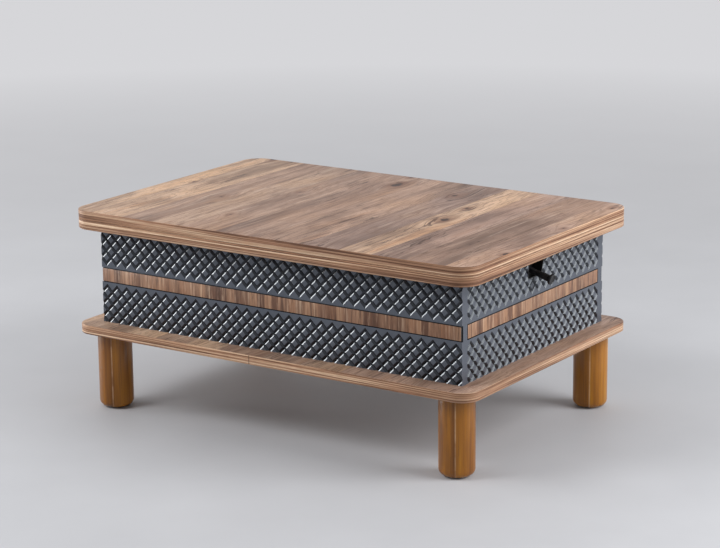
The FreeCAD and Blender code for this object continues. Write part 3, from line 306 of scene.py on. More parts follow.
# Cracks are thin contours of the streaks, open only in the grey patches and beside knots.
crack_line = levels(plank_finish, math_on(
    plank_finish, "ABSOLUTE", math_on(plank_finish, "SUBTRACT", grain_cracks, 0.42)), 0.016, 0.008)
knot_near = math_on(plank_finish, "MULTIPLY", levels(plank_finish, knot_reach, 0.45, 0.2), knot_here)
crack_mask = math_on(plank_finish, "MAXIMUM", levels(plank_finish, plank_patches, 0.54, 0.44), knot_near)
crack_dark = math_on(plank_finish, "MULTIPLY", crack_line, crack_mask)
crack_dark = math_on(plank_finish, "MULTIPLY", crack_dark, 0.9)
plank_colour = blend_on(plank_finish, crack_dark, plank_colour, tint(72, 52, 44))
knot_ragged = math_on(plank_finish, "ADD", knot_reach,
                      levels(plank_finish, grain_streaks, 0.3, 0.7, -0.07, 0.09))
knot_ring = levels(plank_finish, knot_ragged, 0.2, 0.05, 0.0, 0.75)
knot_ring = math_on(plank_finish, "MULTIPLY", knot_ring, knot_here)
plank_colour = blend_on(plank_finish, knot_ring, plank_colour, tint(112, 78, 60))
knot_core = levels(plank_finish, knot_ragged, 0.07, 0.045)
knot_core = math_on(plank_finish, "MULTIPLY", knot_core, knot_here)
plank_colour = blend_on(plank_finish, knot_core, plank_colour, tint(58, 42, 38))
plank_colour = blend_on(plank_finish, math_on(plank_finish, "MULTIPLY", plank_joints, 0.45), plank_colour,
                        tint(98, 74, 62))
shade(plank_finish, Base_Color=plank_colour,
      Roughness=levels(plank_finish, grain_streaks, 0.3, 0.7, 0.55, 0.43),
      Normal=bump_on(plank_finish, grain_fine, 0.0002, 0.25))

band_finish = new_finish("edge_band", Specular_IOR_Level=0.3)
band_stripes = noise(band_finish, place_on(band_finish, (2, 2, 400)), 1, 4, 0.62, 0.3)
band_broad = noise(band_finish, place_on(band_finish, (1.6, 1.6, 95)), 1, 3, 0.5)
band_fine = noise(band_finish, place_on(band_finish, (30, 30, 1500)), 1, 3, 0.6)
band_flecks = noise(band_finish, place_on(band_finish, (14, 14, 60)), 1, 3, 0.6)
band_colour = ramp(band_finish, band_stripes, [
    (0.38, tint(100, 68, 50)), (0.46, tint(158, 120, 94)), (0.53, tint(196, 160, 132)),
    (0.62, tint(230, 204, 178))])
band_shades = ramp(band_finish, band_broad, [(0.32, tint(186, 168, 156)), (0.62, tint(255, 250, 242))])
band_colour = blend_on(band_finish, 0.9, band_colour, band_shades, "MULTIPLY")
band_colour = stain(band_finish, band_colour, tint(102, 72, 56), band_fine, 0.34, 0.48, 0.5, 0.0)
band_colour = stain(band_finish, band_colour, tint(178, 128, 98), band_flecks, 0.5, 0.75, 0.0, 0.4)

# The ends of the base's band meet in a dark joint on its front edge.
joint_place = -0.0272
joint_front = -0.25
joint_level = 0.2
band_axes = add(band_finish, "SeparateXYZ", {"Vector": place_on(band_finish)}).node.outputs
joint_near = math_on(band_finish, "ABSOLUTE", math_on(band_finish, "SUBTRACT", band_axes["X"], joint_place))
on_front = math_on(band_finish, "LESS_THAN", band_axes["Y"], joint_front)
on_base = math_on(band_finish, "LESS_THAN", band_axes["Z"], joint_level)
joint_here = math_on(band_finish, "MULTIPLY", on_front, on_base)
joint_dark = levels(band_finish, joint_near, 0.0012, 0.0007, 0.0, 0.75)
joint_dark = math_on(band_finish, "MULTIPLY", joint_here, joint_dark)
band_colour = blend_on(band_finish, joint_dark, band_colour, tint(70, 48, 38))
shade(band_finish, Base_Color=band_colour,
      Roughness=levels(band_finish, band_stripes, 0.3, 0.7, 0.5, 0.38),
      Normal=bump_on(band_finish, band_fine, 0.0002, 0.25))


def rounded_board(name, node, corner, arris):
    """A board of the node's size with round corners and eased arrises."""
    low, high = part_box(node)
    board = start(name, bpy.ops.mesh.primitive_cube_add, size=1, location=(low + high) / 2,
                  scale=high - low)
    bpy.ops.object.transform_apply(location=True, rotation=True, scale=True)
    edit("EDGE", lambda edge: abs(edge.verts[0].co.z - edge.verts[1].co.z) > hair)
    bpy.ops.mesh.bevel(offset=corner, segments=16, affect="EDGES")
    edit("EDGE", lambda edge: abs(edge.verts[0].co.z - edge.verts[1].co.z) < hair)
    bpy.ops.mesh.bevel(offset=arris, segments=3, affect="EDGES")
    bpy.ops.object.mode_set(mode="OBJECT")
    return board


def carve(piece, cutter):
    """Cut one closed piece out of another, which is then the only one selected."""
    bpy.ops.object.select_all(action="DESELECT")
    piece.select_set(True)
    bpy.context.view_layer.objects.active = piece
    modifier = piece.modifiers.new("carve", "BOOLEAN")
    modifier.object = cutter
    modifier.solver = "EXACT"
    bpy.ops.object.modifier_apply(modifier=modifier.name)
    bpy.data.objects.remove(cutter)


flat_facing = 0.9


def band_the_edge(board):
    """The second finish goes on every face that doesn't look up or down. The piece has both by now."""
    for face in board.data.polygons:
        face.material_index = 1 if abs(face.normal.z) < flat_facing else 0


base_corner = 0.036
board_arris = 0.0014
base = rounded_board("base_panel_board", "base_board", base_corner, board_arris)
dress(settle(base), "plank_laminate", "carcass", "base_board", finishes=[plank_finish, band_finish])
band_the_edge(base)

# Case panels: fibreboard milled with crossing V grooves that leave flat-topped diamonds with sloped
# shoulders, pressed over with an anthracite film. A plain band runs along the middle of each, with a shallow
# groove for the inlay strip. They stand on the base board, and screws come up into them through it.
def film(name, dark, light, dull, glossy):
    """The film's finish: grains of two greys under clouds, with an orange peel."""
    finish = new_finish(name, Specular_IOR_Level=0.5, Specular_Tint=(0.86, 0.93, 1, 1))
    grain = noise(finish, place_on(finish), 700, 3, 0.6)
    peel = noise(finish, place_on(finish), 160, 2, 0.5)
    clouds = ramp(finish, noise(finish, place_on(finish), 9, 3, 0.5), [
        (0.35, tint(236, 238, 242)), (0.65, tint(255, 255, 255))])
    colour = blend_on(finish, 1.0, ramp(finish, grain, [(0.3, dark), (0.7, light)]), clouds, "MULTIPLY")
    shade(finish, Base_Color=colour, Roughness=levels(finish, grain, 0.3, 0.7, dull, glossy),
          Normal=bump_on(finish, peel, 0.0002, 0.2))
    return finish


panel_finish = film("panel_grey", tint(74, 78, 87), tint(86, 90, 99), 0.34, 0.26)
# A darker copy of the film for the groove walls and the groove round the strip: painted shade.
groove_shade_finish = film("panel_grey_painted_shade", tint(31, 33, 38), tint(39, 41, 47), 0.23, 0.17)
diamond_height = 0.0242
groove_half_width = 0.0041
groove_depth = 0.0027
arris_width = 0.0004
arris_drop = 0.00006
shoulder_width = 0.0024
shoulder_drop = 0.0012
zigzag_from_middle = 0.0228
film_angle = math.radians(8)
strip_height = 0.026
strip_depth = 0.004
strip_gap = 0.0015


def array(piece, count, offset):
    """Repeat a piece at even steps."""
    modifier = piece.modifiers.new("steps", "ARRAY")
    modifier.count = count
    modifier.use_relative_offset = False
    modifier.use_constant_offset = True
    modifier.constant_offset_displace = offset
    bpy.ops.object.modifier_apply(modifier=modifier.name)


def diamond_panel(name, node, facing, columns):
    """One panel, modelled facing the front with its middle at the origin, then turned to its side."""
    low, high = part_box(node)
    size = high - low
    length, thickness = (size.x, size.y) if facing % math.pi == 0 else (size.y, size.x)
    half_length = length / 2
    half_height = size.z / 2
    pitch = length / columns
    rows = math.ceil((half_height - zigzag_from_middle) / diamond_height) + 1
    groove_rise = groove_half_width * math.hypot(1, diamond_height / pitch)
    arris_rise = arris_width * math.hypot(1, diamond_height / pitch)
    shoulder_rise = shoulder_width * math.hypot(1, diamond_height / pitch)

    # One diamond: a square on its point, drawn in to its shoulder, its arris and then its flat top.
    field = start(name, bpy.ops.mesh.primitive_circle_add, vertices=4, radius=1, fill_type="NGON",
                  rotation=(math.pi / 2, 0, 0))
    bpy.ops.object.transform_apply(rotation=True)
    field.scale = (pitch / 2, 1, diamond_height / 2)
    field.location = (-half_length + pitch / 2, groove_depth, zigzag_from_middle + diamond_height / 2)
    bpy.ops.object.transform_apply(location=True, scale=True)
    edit("FACE", lambda face: True)
    bpy.ops.mesh.inset(thickness=groove_half_width - shoulder_width, depth=groove_depth - shoulder_drop)
    bpy.ops.mesh.inset(thickness=shoulder_width - arris_width, depth=shoulder_drop - arris_drop)
    bpy.ops.mesh.inset(thickness=arris_width, depth=arris_drop)
    bpy.ops.object.mode_set(mode="OBJECT")
    array(field, columns, (pitch, 0, 0))
    array(field, rows, (0, 0, diamond_height))

    # The same field again, half a diamond up and across, fills the gaps between.
    bpy.ops.object.duplicate()
    between = bpy.context.object
    between.location = (-pitch / 2, 0, diamond_height / 2)
    bpy.ops.object.transform_apply(location=True)
    bpy.ops.object.duplicate()
    last_column = bpy.context.object
    last_column.location = (pitch, 0, 0)
    bpy.ops.object.transform_apply(location=True)

    # Plain band: a strip whose upper edge zigzags, stepped down into the first grooves.
    groove_edge = strip_height / 2 + strip_gap
    foot = zigzag_from_middle - groove_rise
    band = start(name + "_band", bpy.ops.mesh.primitive_plane_add, size=1, rotation=(math.pi / 2, 0, 0))
    bpy.ops.object.transform_apply(rotation=True)
    band.scale = (pitch, 1, foot - groove_edge)
    band.location = (-half_length, 0, (foot + groove_edge) / 2)
    bpy.ops.object.transform_apply(location=True, scale=True)
    edit("EDGE", lambda edge: middle(edge).z > foot - hair)
    bpy.ops.mesh.subdivide(number_cuts=1)
    mesh = bmesh.from_edit_mesh(band.data)
    for vert in mesh.verts:
        if vert.co.z > foot - hair and abs(vert.co.x + half_length) < hair:
            vert.co.z += diamond_height / 2
    bmesh.update_edit_mesh(band.data)
    edit("EDGE", lambda edge: middle(edge).z > foot + hair and abs(middle(edge).x + half_length) > hair
         and abs(middle(edge).x + half_length) < pitch / 2 - hair)
    for step in ((0, arris_drop, arris_rise), (0, shoulder_drop - arris_drop, shoulder_rise - arris_rise),
                 (0, groove_depth - shoulder_drop, groove_rise - shoulder_rise)):
        bpy.ops.mesh.extrude_region_move(TRANSFORM_OT_translate={"value": step})
    bpy.ops.object.mode_set(mode="OBJECT")
    array(band, columns + 1, (pitch, 0, 0))

    # Join, trim to the panel's ends and top, and step back into the groove for the strip.
    for part in (field, between, last_column, band):
        part.select_set(True)
    bpy.context.view_layer.objects.active = field
    bpy.ops.object.join()
    panel = bpy.context.object
    bpy.ops.object.mode_set(mode="EDIT")
    for point, normal in (((half_length, 0, 0), (1, 0, 0)), ((-half_length, 0, 0), (-1, 0, 0)),
                          ((0, 0, half_height), (0, 0, 1))):
        bpy.ops.mesh.select_all(action="SELECT")
        bpy.ops.mesh.bisect(plane_co=point, plane_no=normal, clear_outer=True, threshold=1e-6)
    bpy.ops.mesh.select_all(action="SELECT")
    bpy.ops.mesh.remove_doubles(threshold=2e-5)
    edit("EDGE", lambda edge: edge.is_boundary and abs(middle(edge).z - groove_edge) < hair
         and abs(edge.verts[0].co.z - edge.verts[1].co.z) < hair)
    bpy.ops.mesh.extrude_region_move(TRANSFORM_OT_translate={"value": (0, strip_depth, 0)})
    bpy.ops.mesh.extrude_region_move(TRANSFORM_OT_translate={"value": (0, 0, -groove_edge)})
    bpy.ops.object.mode_set(mode="OBJECT")
    modifier = panel.modifiers.new("lower_half", "MIRROR")
    modifier.use_axis = (False, False, True)
    modifier.merge_threshold = hair / 10
    bpy.ops.object.modifier_apply(modifier=modifier.name)

    # Draw the rim back to the inner face and close it.
    edit("EDGE", lambda edge: edge.is_boundary)
    bpy.ops.mesh.extrude_region_move(TRANSFORM_OT_translate={"value": (0, thickness, 0)})
    bpy.ops.transform.resize(value=(1, 0, 1), center_override=(0, thickness, 0))
    bpy.ops.mesh.edge_face_add()
    bpy.ops.mesh.select_all(action="SELECT")
    bpy.ops.mesh.normals_make_consistent(inside=False)
    bpy.ops.object.mode_set(mode="OBJECT")
    panel.rotation_euler = (0, 0, facing)
    outward = Matrix.Rotation(facing, 3, "Z") @ Vector((0, -1, 0))
    panel.location = (low + high) / 2 + outward * thickness / 2
    return settle(panel, film_angle)


quarter = math.pi / 2
mouth_flare = 0.016
rim_facing = 0.2
wall_facing = 0.95
long_columns = 34
end_columns = 20
for node, facing, columns in (("front_panel", 0, long_columns), ("rear_panel", math.pi, long_columns),
                              ("left_end_panel", -quarter, end_columns),
                              ("right_end_panel", quarter, end_columns)):
    panel = diamond_panel("diamond_" + node, node, facing, columns)
    if node == "right_end_panel":
        # The mouth for the lever: upright on the front side, flared on the back side, open at the top.
        low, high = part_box("notch_liner")
        size = high - low
        mouth = start("mouth", bpy.ops.mesh.primitive_cube_add, size=1, location=(low + high) / 2,
                      scale=(2 * size.x, size.y, size.z))
        bpy.ops.object.transform_apply(location=True, scale=True)
        edit("EDGE", lambda edge: middle(edge).z < low.z + hair and middle(edge).y > high.y - hair)
        bpy.ops.transform.translate(value=(0, -mouth_flare, 0))
        edit("FACE", lambda face: face.normal.z > flat_facing)
        bpy.ops.transform.translate(value=(0, 0, hair))
        bpy.ops.object.mode_set(mode="OBJECT")
        carve(panel, mouth)
        settle(panel, film_angle)
    dress(panel, "panel_grey", "carcass", node, finishes=[panel_finish, groove_shade_finish])
    low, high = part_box(node)
    outward = Matrix.Rotation(facing, 3, "Z") @ Vector((0, -1, 0))
    # Groove walls and the groove that holds the strip take the darker film: painted shade.
    for face in panel.data.polygons:
        from_middle = face.center - (low + high) / 2
        sunk = (high - low).dot(outward * outward) / 2 - from_middle.dot(outward)
        is_wall = rim_facing < max(abs(face.normal.x), abs(face.normal.y)) < wall_facing
        beside_strip = abs(from_middle.z) < strip_height / 2 + strip_gap + hair
        holds_strip = beside_strip and hair < sunk < strip_depth + hair and face.normal.dot(outward) > -hair
        face.material_index = 1 if is_wall or holds_strip else 0

# Inlay strips: narrow offcuts of the plank sheet with the grain upright, glued into the groove of each
# panel with a shadow gap all round. Their edges are black, as painted shade in the shadow gap.
black_plastic_and_gap_shade = new_finish("black_plastic", Specular_IOR_Level=0.4)
moulded_grain = noise(black_plastic_and_gap_shade, place_on(black_plastic_and_gap_shade), 1400, 2, 0.5)
moulded_cloud = noise(black_plastic_and_gap_shade, place_on(black_plastic_and_gap_shade), 40, 3, 0.5)
shade(black_plastic_and_gap_shade, Base_Color=ramp(black_plastic_and_gap_shade, moulded_cloud, [
    (0.3, tint(14, 14, 15)), (0.7, tint(24, 24, 26))]),
    Roughness=levels(black_plastic_and_gap_shade, moulded_grain, 0.3, 0.7, 0.5, 0.36),
    Normal=bump_on(black_plastic_and_gap_shade, moulded_grain, 0.0001, 0.3))
inlay_finish = new_finish("inlay_wood", Specular_IOR_Level=0.4)
inlay_axes = add(inlay_finish, "SeparateXYZ", {"Vector": place_on(inlay_finish)}).node.outputs
inlay_along = math_on(inlay_finish, "ADD", inlay_axes["X"], inlay_axes["Y"])
inlay_staves = add(inlay_finish, "TexVoronoi", {"W": inlay_along, "Scale": 58, "Randomness": 1},
                   "Color", voronoi_dimensions="1D")
inlay_bands = noise(inlay_finish, place_on(inlay_finish, (1, 1, 0.06)), 60, 4, 0.6, 0.6)
inlay_streaks = noise(inlay_finish, place_on(inlay_finish, (1, 1, 0.06)), 170, 5, 0.7, 0.3)
inlay_colour = ramp(inlay_finish, add(inlay_finish, "SeparateColor", {"Color": inlay_staves}), [
    (0.05, tint(112, 80, 62)), (0.3, tint(164, 130, 105)), (0.5, tint(144, 109, 88)),
    (0.7, tint(178, 143, 115)), (0.95, tint(146, 107, 82))])
inlay_shades = ramp(inlay_finish, inlay_bands, [
    (0.3, tint(164, 146, 138)), (0.5, tint(234, 224, 216)), (0.66, tint(255, 248, 240))])
inlay_colour = blend_on(inlay_finish, 0.9, inlay_colour, inlay_shades, "MULTIPLY")
inlay_colour = stain(inlay_finish, inlay_colour, tint(84, 58, 44), inlay_streaks, 0.36, 0.48, 0.75, 0.0)
inlay_colour = stain(inlay_finish, inlay_colour, tint(214, 184, 156), inlay_streaks, 0.53, 0.66, 0.0, 0.5)
shade(inlay_finish, Base_Color=inlay_colour,
      Roughness=levels(inlay_finish, inlay_streaks, 0.3, 0.7, 0.5, 0.38),
      Normal=bump_on(inlay_finish, inlay_streaks, 0.0002, 0.25))
strip_arris = 0.0004
for side in ("front", "rear", "left", "right"):
    low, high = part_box(side + "_inlay_strip")
    strip = start(side + "_strip", bpy.ops.mesh.primitive_cube_add, size=1, location=(low + high) / 2,
                  scale=high - low)
    bpy.ops.object.transform_apply(location=True, scale=True)
    edit("EDGE", lambda edge: True)
    bpy.ops.mesh.bevel(offset=strip_arris, segments=2, affect="EDGES")
    dress(settle(strip), "inlay_wood", "carcass", side + "_inlay_strip",
          finishes=[inlay_finish, black_plastic_and_gap_shade])
    outward = 1 if high.x - low.x > high.y - low.y else 0
    # Every face but the front and back takes the black finish: painted shade in the gap round the strip.
    for face in strip.data.polygons:
        face.material_index = 0 if abs(face.normal[outward]) > wall_facing else 1


# Corner blocks: sawn beech, left raw. They stand in the corners of the case, glued to both panels, and hold
# it square.
nodes = frame["nodes"]


def repaint(finish, *names):
    """A node whose shape is right keeps it and takes the finish."""
    for name in names:
        nodes[name].data.materials.clear()
        nodes[name].data.materials.append(finish)


beech_finish = new_finish("block_wood", Specular_IOR_Level=0.3)
beech_grain = noise(beech_finish, place_on(beech_finish, (1, 1, 0.06)), 120, 5, 0.6, 0.4)
beech_flecks = noise(beech_finish, place_on(beech_finish, (1, 1, 0.2)), 600, 2, 0.5)
beech_colour = ramp(beech_finish, beech_grain, [(0.3, tint(186, 142, 100)), (0.7, tint(214, 176, 132))])
beech_colour = stain(beech_finish, beech_colour, tint(150, 104, 68), beech_flecks, 0.36, 0.44, 0.4, 0.0)
shade(beech_finish, Base_Color=beech_colour,
      Roughness=levels(beech_finish, beech_grain, 0.3, 0.7, 0.7, 0.55))
repaint(beech_finish, "corner_blocks")

# Screws, bolts, nuts, axles and pins: turned or cold-headed steel, bright zinc plated. The axles and pins
# lie in drilled holes with a little play, and the screws and bolts are drawn up tight.
zinc_finish = new_finish("zinc_steel", Metallic=1.0)
zinc_bloom = noise(zinc_finish, place_on(zinc_finish), 130, 4, 0.6)
zinc_lines = noise(zinc_finish, place_on(zinc_finish, (1, 0.05, 1)), 1500, 2, 0.5)
shade(zinc_finish, Base_Color=ramp(zinc_finish, zinc_bloom, [
    (0.3, tint(176, 178, 180)), (0.7, tint(204, 205, 202))]),
    Roughness=levels(zinc_finish, zinc_bloom, 0.3, 0.7, 0.42, 0.26),
    Normal=bump_on(zinc_finish, zinc_lines, 0.00005, 0.3))
repaint(zinc_finish, "leg_hanger_bolts", "leg_tee_nuts", "panel_screws", "lower_rail_screws",
        "lower_fixed_axle", "centre_axle", "upper_roller_axle", "lower_roller_axle", "cross_bar_screws",
        "upper_pivot_pins", "gas_rod_nuts", "lever_pivot_pin", "release_pin", "pivot_spindle", "pivot_nut",
        "hinge_pins")

# Plastic pieces: the liner bent round the mouth, the glides under the legs and the gland of the gas tube
# are moulded black. The rollers, the pivot bush and the pads under the leaf are natural nylon.
repaint(black_plastic_and_gap_shade, "notch_liner", "foot_glides", "gas_tube_gland")
nylon_finish = new_finish("nylon", Specular_IOR_Level=0.45)
nylon_cloud = noise(nylon_finish, place_on(nylon_finish), 60, 3, 0.5)
nylon_wear = noise(nylon_finish, place_on(nylon_finish), 320, 3, 0.6)
nylon_colour = ramp(nylon_finish, nylon_cloud, [(0.3, tint(214, 210, 198)), (0.7, tint(232, 229, 218))])
nylon_colour = stain(nylon_finish, nylon_colour, tint(150, 146, 138), nylon_wear, 0.62, 0.75, 0.0, 0.3)
shade(nylon_finish, Base_Color=nylon_colour,
      Roughness=levels(nylon_finish, nylon_wear, 0.3, 0.7, 0.4, 0.55))
repaint(nylon_finish, "upper_rollers", "lower_rollers", "pivot_bush", "leaf_pads")

# Lift frame: channel rails, flat arms, ties, cross bars and the lever's bracket, cut from mild steel,
# welded and powder coated black with a fine orange peel.
coated_finish = new_finish("black_steel", Specular_IOR_Level=0.5)
coat_peel = noise(coated_finish, place_on(coated_finish), 900, 2, 0.5)
coat_cloud = noise(coated_finish, place_on(coated_finish), 14, 4, 0.6)
coat_dust = noise(coated_finish, place_on(coated_finish), 260, 4, 0.7)
coat_colour = ramp(coated_finish, coat_cloud, [(0.3, tint(26, 26, 28)), (0.7, tint(38, 38, 41))])
coat_colour = stain(coated_finish, coat_colour, tint(84, 84, 86), coat_dust, 0.6, 0.78, 0.0, 0.25)
shade(coated_finish, Base_Color=coat_colour,
      Roughness=levels(coated_finish, coat_cloud, 0.3, 0.7, 0.5, 0.38),
      Normal=bump_on(coated_finish, coat_peel, 0.00015, 0.35))
repaint(coated_finish, "lower_rail_front", "lower_rail_rear", "upper_rail_front", "upper_rail_rear",
        "left_cross_bar", "pivot_cross_bar", "right_cross_bar", "outer_arm_front", "outer_arm_rear",
        "outer_arm_tie", "inner_arm_front", "inner_arm_rear", "inner_arm_tie", "lever_bracket",
        "release_lever")

# Gas spring: a drawn steel tube painted gloss black, and a ground and hard-chromed rod that slides in it. It
# holds the top at any height until the lever presses the pin in the end of the rod.
tube_finish = new_finish("gas_black", Coat_Weight=0.5, Coat_Roughness=0.1)
tube_cloud = noise(tube_finish, place_on(tube_finish), 30, 3, 0.5)
tube_peel = noise(tube_finish, place_on(tube_finish, (0.2, 1, 1)), 500, 2, 0.5)
tube_colour = ramp(tube_finish, tube_cloud, [(0.3, tint(16, 16, 18)), (0.7, tint(24, 24, 27))])
shade(tube_finish, Base_Color=tube_colour,
      Roughness=levels(tube_finish, tube_cloud, 0.3, 0.7, 0.34, 0.24),
      Normal=bump_on(tube_finish, tube_peel, 0.0001, 0.2))
repaint(tube_finish, "gas_tube")
rod_finish = new_finish("chrome_rod", Metallic=1.0)
rod_lines = noise(rod_finish, place_on(rod_finish, (1, 0.02, 0.02)), 2500, 2, 0.5)
rod_colour = ramp(rod_finish, rod_lines, [(0.3, tint(214, 215, 218)), (0.7, tint(228, 229, 231))])
shade(rod_finish, Base_Color=rod_colour,
      Roughness=levels(rod_finish, rod_lines, 0.3, 0.7, 0.07, 0.16))
repaint(rod_finish, "gas_rod")

# Lever knob: turned black plastic, pushed onto the tang of the release lever. A neck swells to the grip and
# ends in a wide disc with a rim, for a finger to pull up.
pivots = {joint["name"]: Vector(joint["pos_m"]) for joint in frame["joints"] if "pos_m" in joint}
lever_droop = math.radians(15.8)
knob_start = 0.038
lever_arm_rise = 0.0076
knob_end_radius = 0.0051
knob_steps = [
    (0.0006, 0.0055), (0.017, 0.0065), (0.0262, 0.0065), (0.0274, 0.0072), (0.0285, 0.0092),
    (0.0291, 0.0098), (0.0296, 0.0100), (0.0330, 0.0100), (0.0336, 0.0098), (0.0340, 0.0092),
    (0.0340, 0.0084), (0.0334, 0.0078), (0.0330, 0.0030)]
knob = start("pull_knob", bpy.ops.mesh.primitive_circle_add, vertices=64, radius=knob_end_radius,
             fill_type="NGON")
edit("FACE", lambda face: True)
before_height, before_radius = 0.0, knob_end_radius
for height, radius in knob_steps:
    bpy.ops.mesh.extrude_region_move(TRANSFORM_OT_translate={"value": (0, 0, height - before_height)})
    share = radius / before_radius
    bpy.ops.transform.resize(value=(share, share, 1), center_override=(0, 0, height))
    before_height, before_radius = height, radius
bpy.ops.mesh.select_all(action="SELECT")
bpy.ops.mesh.normals_make_consistent(inside=False)
bpy.ops.object.mode_set(mode="OBJECT")
along = Vector((math.cos(lever_droop), 0, -math.sin(lever_droop)))
across = Vector((math.sin(lever_droop), 0, math.cos(lever_droop)))
knob.rotation_euler = (0, quarter + lever_droop, 0)
knob.location = pivots["lever_lift"] + along * knob_start + across * lever_arm_rise
dress(settle(knob), "black_plastic", "release_lever", "lever_knob", finishes=[black_plastic_and_gap_shade])

# Leaves of the top: two boards of the plank sheet, laid face to face and hinged along their rear edges.
# Their facing sides are let in for the hinges, and the lower one below for the flange of the pivot.
top_corner = 0.040
hinge_length = 0.0506
hinge_width = 0.0223
hinge_sink = 0.00155
knuckle_radius = 0.0029
fold = pivots["leaf_fold"]
turn_spot = pivots["top_turn"]
hinge_pin_length = 0.050
hinge_low, hinge_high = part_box("hinge_pins")
hinge_spacing = (hinge_high.x - hinge_low.x - hinge_pin_length) / 2
flange_low, flange_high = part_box("pivot_spindle")
for name, node, sink_from, sink_to in (
        ("lower_leaf_board", "lower_leaf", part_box("lower_leaf")[1].z - hinge_sink, fold.z + hinge_sink),
        ("upper_leaf_board", "upper_leaf", fold.z - hinge_sink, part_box("upper_leaf")[0].z + hinge_sink)):
    board = rounded_board(name, node, top_corner, board_arris)
    for step in (-1, 0, 1):
        sink_middle = Vector((step * hinge_spacing, fold.y, (sink_from + sink_to) / 2))
        seat = start("hinge_seat", bpy.ops.mesh.primitive_cube_add, size=1, location=sink_middle,
                     scale=(hinge_length, 2 * hinge_width, sink_to - sink_from))
        bpy.ops.object.transform_apply(location=True, scale=True)
        carve(board, seat)
        barrel = start("knuckle_seat", bpy.ops.mesh.primitive_cylinder_add, vertices=32,
                       radius=knuckle_radius, depth=hinge_length,
                       location=(step * hinge_spacing, fold.y, fold.z), rotation=(0, quarter, 0))
        bpy.ops.object.transform_apply(location=True, rotation=True)
        carve(board, barrel)
    if node == "lower_leaf":
        flange = start("flange_seat", bpy.ops.mesh.primitive_cylinder_add, vertices=96,
                       radius=(flange_high.x - flange_low.x) / 2, depth=2 * (flange_high.z - turn_spot.z),
                       location=turn_spot)
        bpy.ops.object.transform_apply(location=True)
        carve(board, flange)
    dress(settle(board), "plank_laminate", node, node, finishes=[plank_finish, band_finish])
    band_the_edge(board)

# Hinges: stamped plates and rolled knuckles, brass plated, let flush into the leaves. Three zinc-plated
# screws with crossed slots hold each plate.
brass_finish = new_finish("hinge_brass", Metallic=1.0)
brass_cloud = noise(brass_finish, place_on(brass_finish), 90, 4, 0.6)
brass_lines = noise(brass_finish, place_on(brass_finish, (0.03, 1, 1)), 1800, 2, 0.5)
shade(brass_finish, Base_Color=ramp(brass_finish, brass_cloud, [
    (0.3, tint(176, 134, 62)), (0.7, tint(206, 166, 92))]),
    Roughness=levels(brass_finish, brass_cloud, 0.3, 0.7, 0.42, 0.28),
    Normal=bump_on(brass_finish, brass_lines, 0.00005, 0.3))
repaint(brass_finish, "lower_hinge_plates", "upper_hinge_plates")
screw_radius = 0.0027
screw_rise = 0.00012
screw_sunk = 0.0006
screw_arris = 0.0002
screw_inset = 0.0145
screw_step = 0.016
slot_length = 0.0034
slot_width = 0.0006
slot_depth = 0.0003
screws_in_plate = 3
hinges = 3
for leaf, face, up in (("lower_leaf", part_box("lower_leaf")[1].z, 1),
                       ("upper_leaf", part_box("upper_leaf")[0].z, -1)):
    head = Vector((-hinge_spacing - screw_step, fold.y - screw_inset, face + up * screw_rise))
    half_depth = (screw_rise + screw_sunk) / 2
    screws = start(leaf + "_hinge_screws", bpy.ops.mesh.primitive_cylinder_add, vertices=32,
                   radius=screw_radius, depth=2 * half_depth,
                   location=head - Vector((0, 0, up * half_depth)))
    bpy.ops.object.transform_apply(location=True)
    edit("EDGE", lambda edge: abs(middle(edge).z - head.z) < hair / 10)
    bpy.ops.mesh.bevel(offset=screw_arris, segments=2, affect="EDGES")
    bpy.ops.object.mode_set(mode="OBJECT")
    for slot_turn in (0, quarter):
        cross = start("cross", bpy.ops.mesh.primitive_cube_add, size=1, location=head,
                      rotation=(0, 0, slot_turn), scale=(slot_length, slot_width, 2 * slot_depth))
        bpy.ops.object.transform_apply(location=True, rotation=True, scale=True)
        carve(screws, cross)
    array(screws, screws_in_plate, (screw_step, 0, 0))
    array(screws, hinges, (hinge_spacing, 0, 0))
    dress(settle(screws), "zinc_steel", leaf, finishes=[zinc_finish])

# Floor, backdrop, light and camera for the picture. The floor is plain pale paint, and fades with distance
# into the backdrop, which is lit evenly for every ray that shows it.
def shows_stage(holder):
    """One for a ray to the camera, off a gloss or through glass, and nought for rays that light things."""
    rays = add(holder, "LightPath", {}).node.outputs
    seen = math_on(holder, "MAXIMUM", rays["Is Camera Ray"], rays["Is Glossy Ray"])
    return math_on(holder, "MAXIMUM", seen, rays["Is Transmission Ray"])


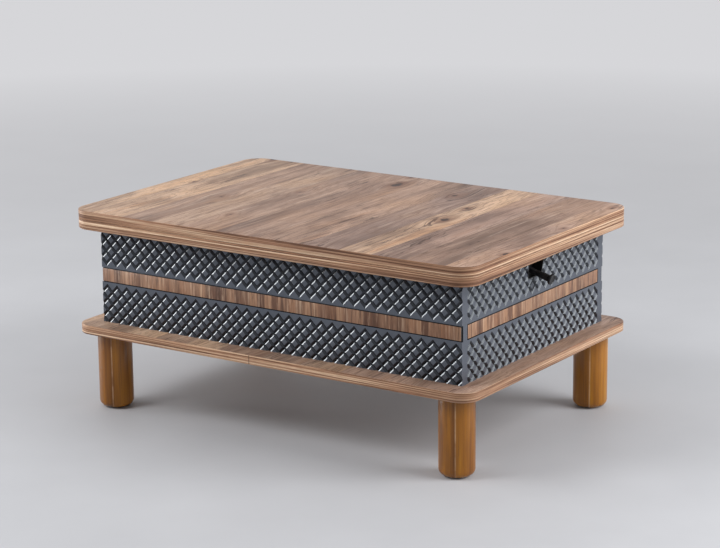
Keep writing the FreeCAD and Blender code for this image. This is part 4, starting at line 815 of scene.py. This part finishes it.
backdrop = tint(220, 220, 223)
floor_finish = new_finish("floor_paint", Roughness=0.6)
shade(floor_finish, Base_Color=ramp(floor_finish, noise(floor_finish, place_on(floor_finish), 3), [
    (0.3, tint(184, 185, 189)), (0.7, tint(190, 191, 195))]))
fade_start = 0.9
fade_end = 4.2
fade_most = 0.9
floor_far = add(floor_finish, "VectorMath", {0: place_on(floor_finish, (1, 1, 0))}, "Value",
                operation="LENGTH")
floor_fade = math_on(floor_finish, "MULTIPLY", shows_stage(floor_finish),
                     levels(floor_finish, floor_far, fade_start, fade_end, 0, fade_most))
floor_glow = add(floor_finish, "Emission", {"Color": backdrop, "Strength": 1})
floor_nodes = floor_finish.node_tree.nodes
floor_mix = add(floor_finish, "MixShader", {
    0: floor_fade, 1: floor_nodes["Principled BSDF"].outputs["BSDF"], 2: floor_glow})
floor_finish.node_tree.links.new(floor_mix, floor_nodes["Material Output"].inputs["Surface"])
floor = start("floor", bpy.ops.mesh.primitive_plane_add, size=40)
floor.data.materials.append(floor_finish)

world = bpy.data.worlds.new("studio")
bpy.context.scene.world = world
world.use_nodes = True
world_light = (0.35, 0.35, 0.35, 1)
world_colour = blend_on(world, shows_stage(world), world_light, backdrop)
world.node_tree.links.new(world_colour, world.node_tree.nodes["Background"].inputs["Color"])


def softbox(name, place, aim, width, height, power):
    """A square-cornered soft light that faces its aim, in metres and watts."""
    lamp = bpy.data.lights.new(name, "AREA")
    lamp.shape = "RECTANGLE"
    lamp.size = width
    lamp.size_y = height
    lamp.energy = power
    light = bpy.data.objects.new(name, lamp)
    bpy.context.scene.collection.objects.link(light)
    light.location = place
    light.rotation_euler = (Vector(aim) - Vector(place)).to_track_quat("-Z", "Y").to_euler()


table_middle = (0, 0, 0.25)
softbox("right_softbox", (2.74, 0.62, 1.8), table_middle, width=2.0, height=2.0, power=80)
softbox("left_softbox", (-2.85, -0.92, 0.68), table_middle, width=1.2, height=0.75, power=37)
softbox("front_softbox", (-1.65, -2.15, 2.6), table_middle, width=1.4, height=1.2, power=56)
softbox("overhead_softbox", (-0.6, 0.7, 3.2), table_middle, width=2.4, height=2.0, power=16)
softbox("right_strip", (2.7, 1.02, 0.74), table_middle, width=0.9, height=0.35, power=10)

camera_place = (2.508352, -3.670771, 1.390997)
camera_heading = 0.595701
camera_tilt = 0.248009
camera_roll = -0.009589
camera_lens = 118.403
camera = bpy.data.objects.new("camera", bpy.data.cameras.new("camera"))
bpy.context.scene.collection.objects.link(camera)
camera.data.lens = camera_lens
turn = (Matrix.Rotation(camera_heading, 4, "Z") @ Matrix.Rotation(quarter - camera_tilt, 4, "X")
        @ Matrix.Rotation(camera_roll, 4, "Z"))
camera.matrix_world = Matrix.Translation(camera_place) @ turn
bpy.context.scene.camera = camera
bpy.context.scene.view_settings.view_transform = "Standard"
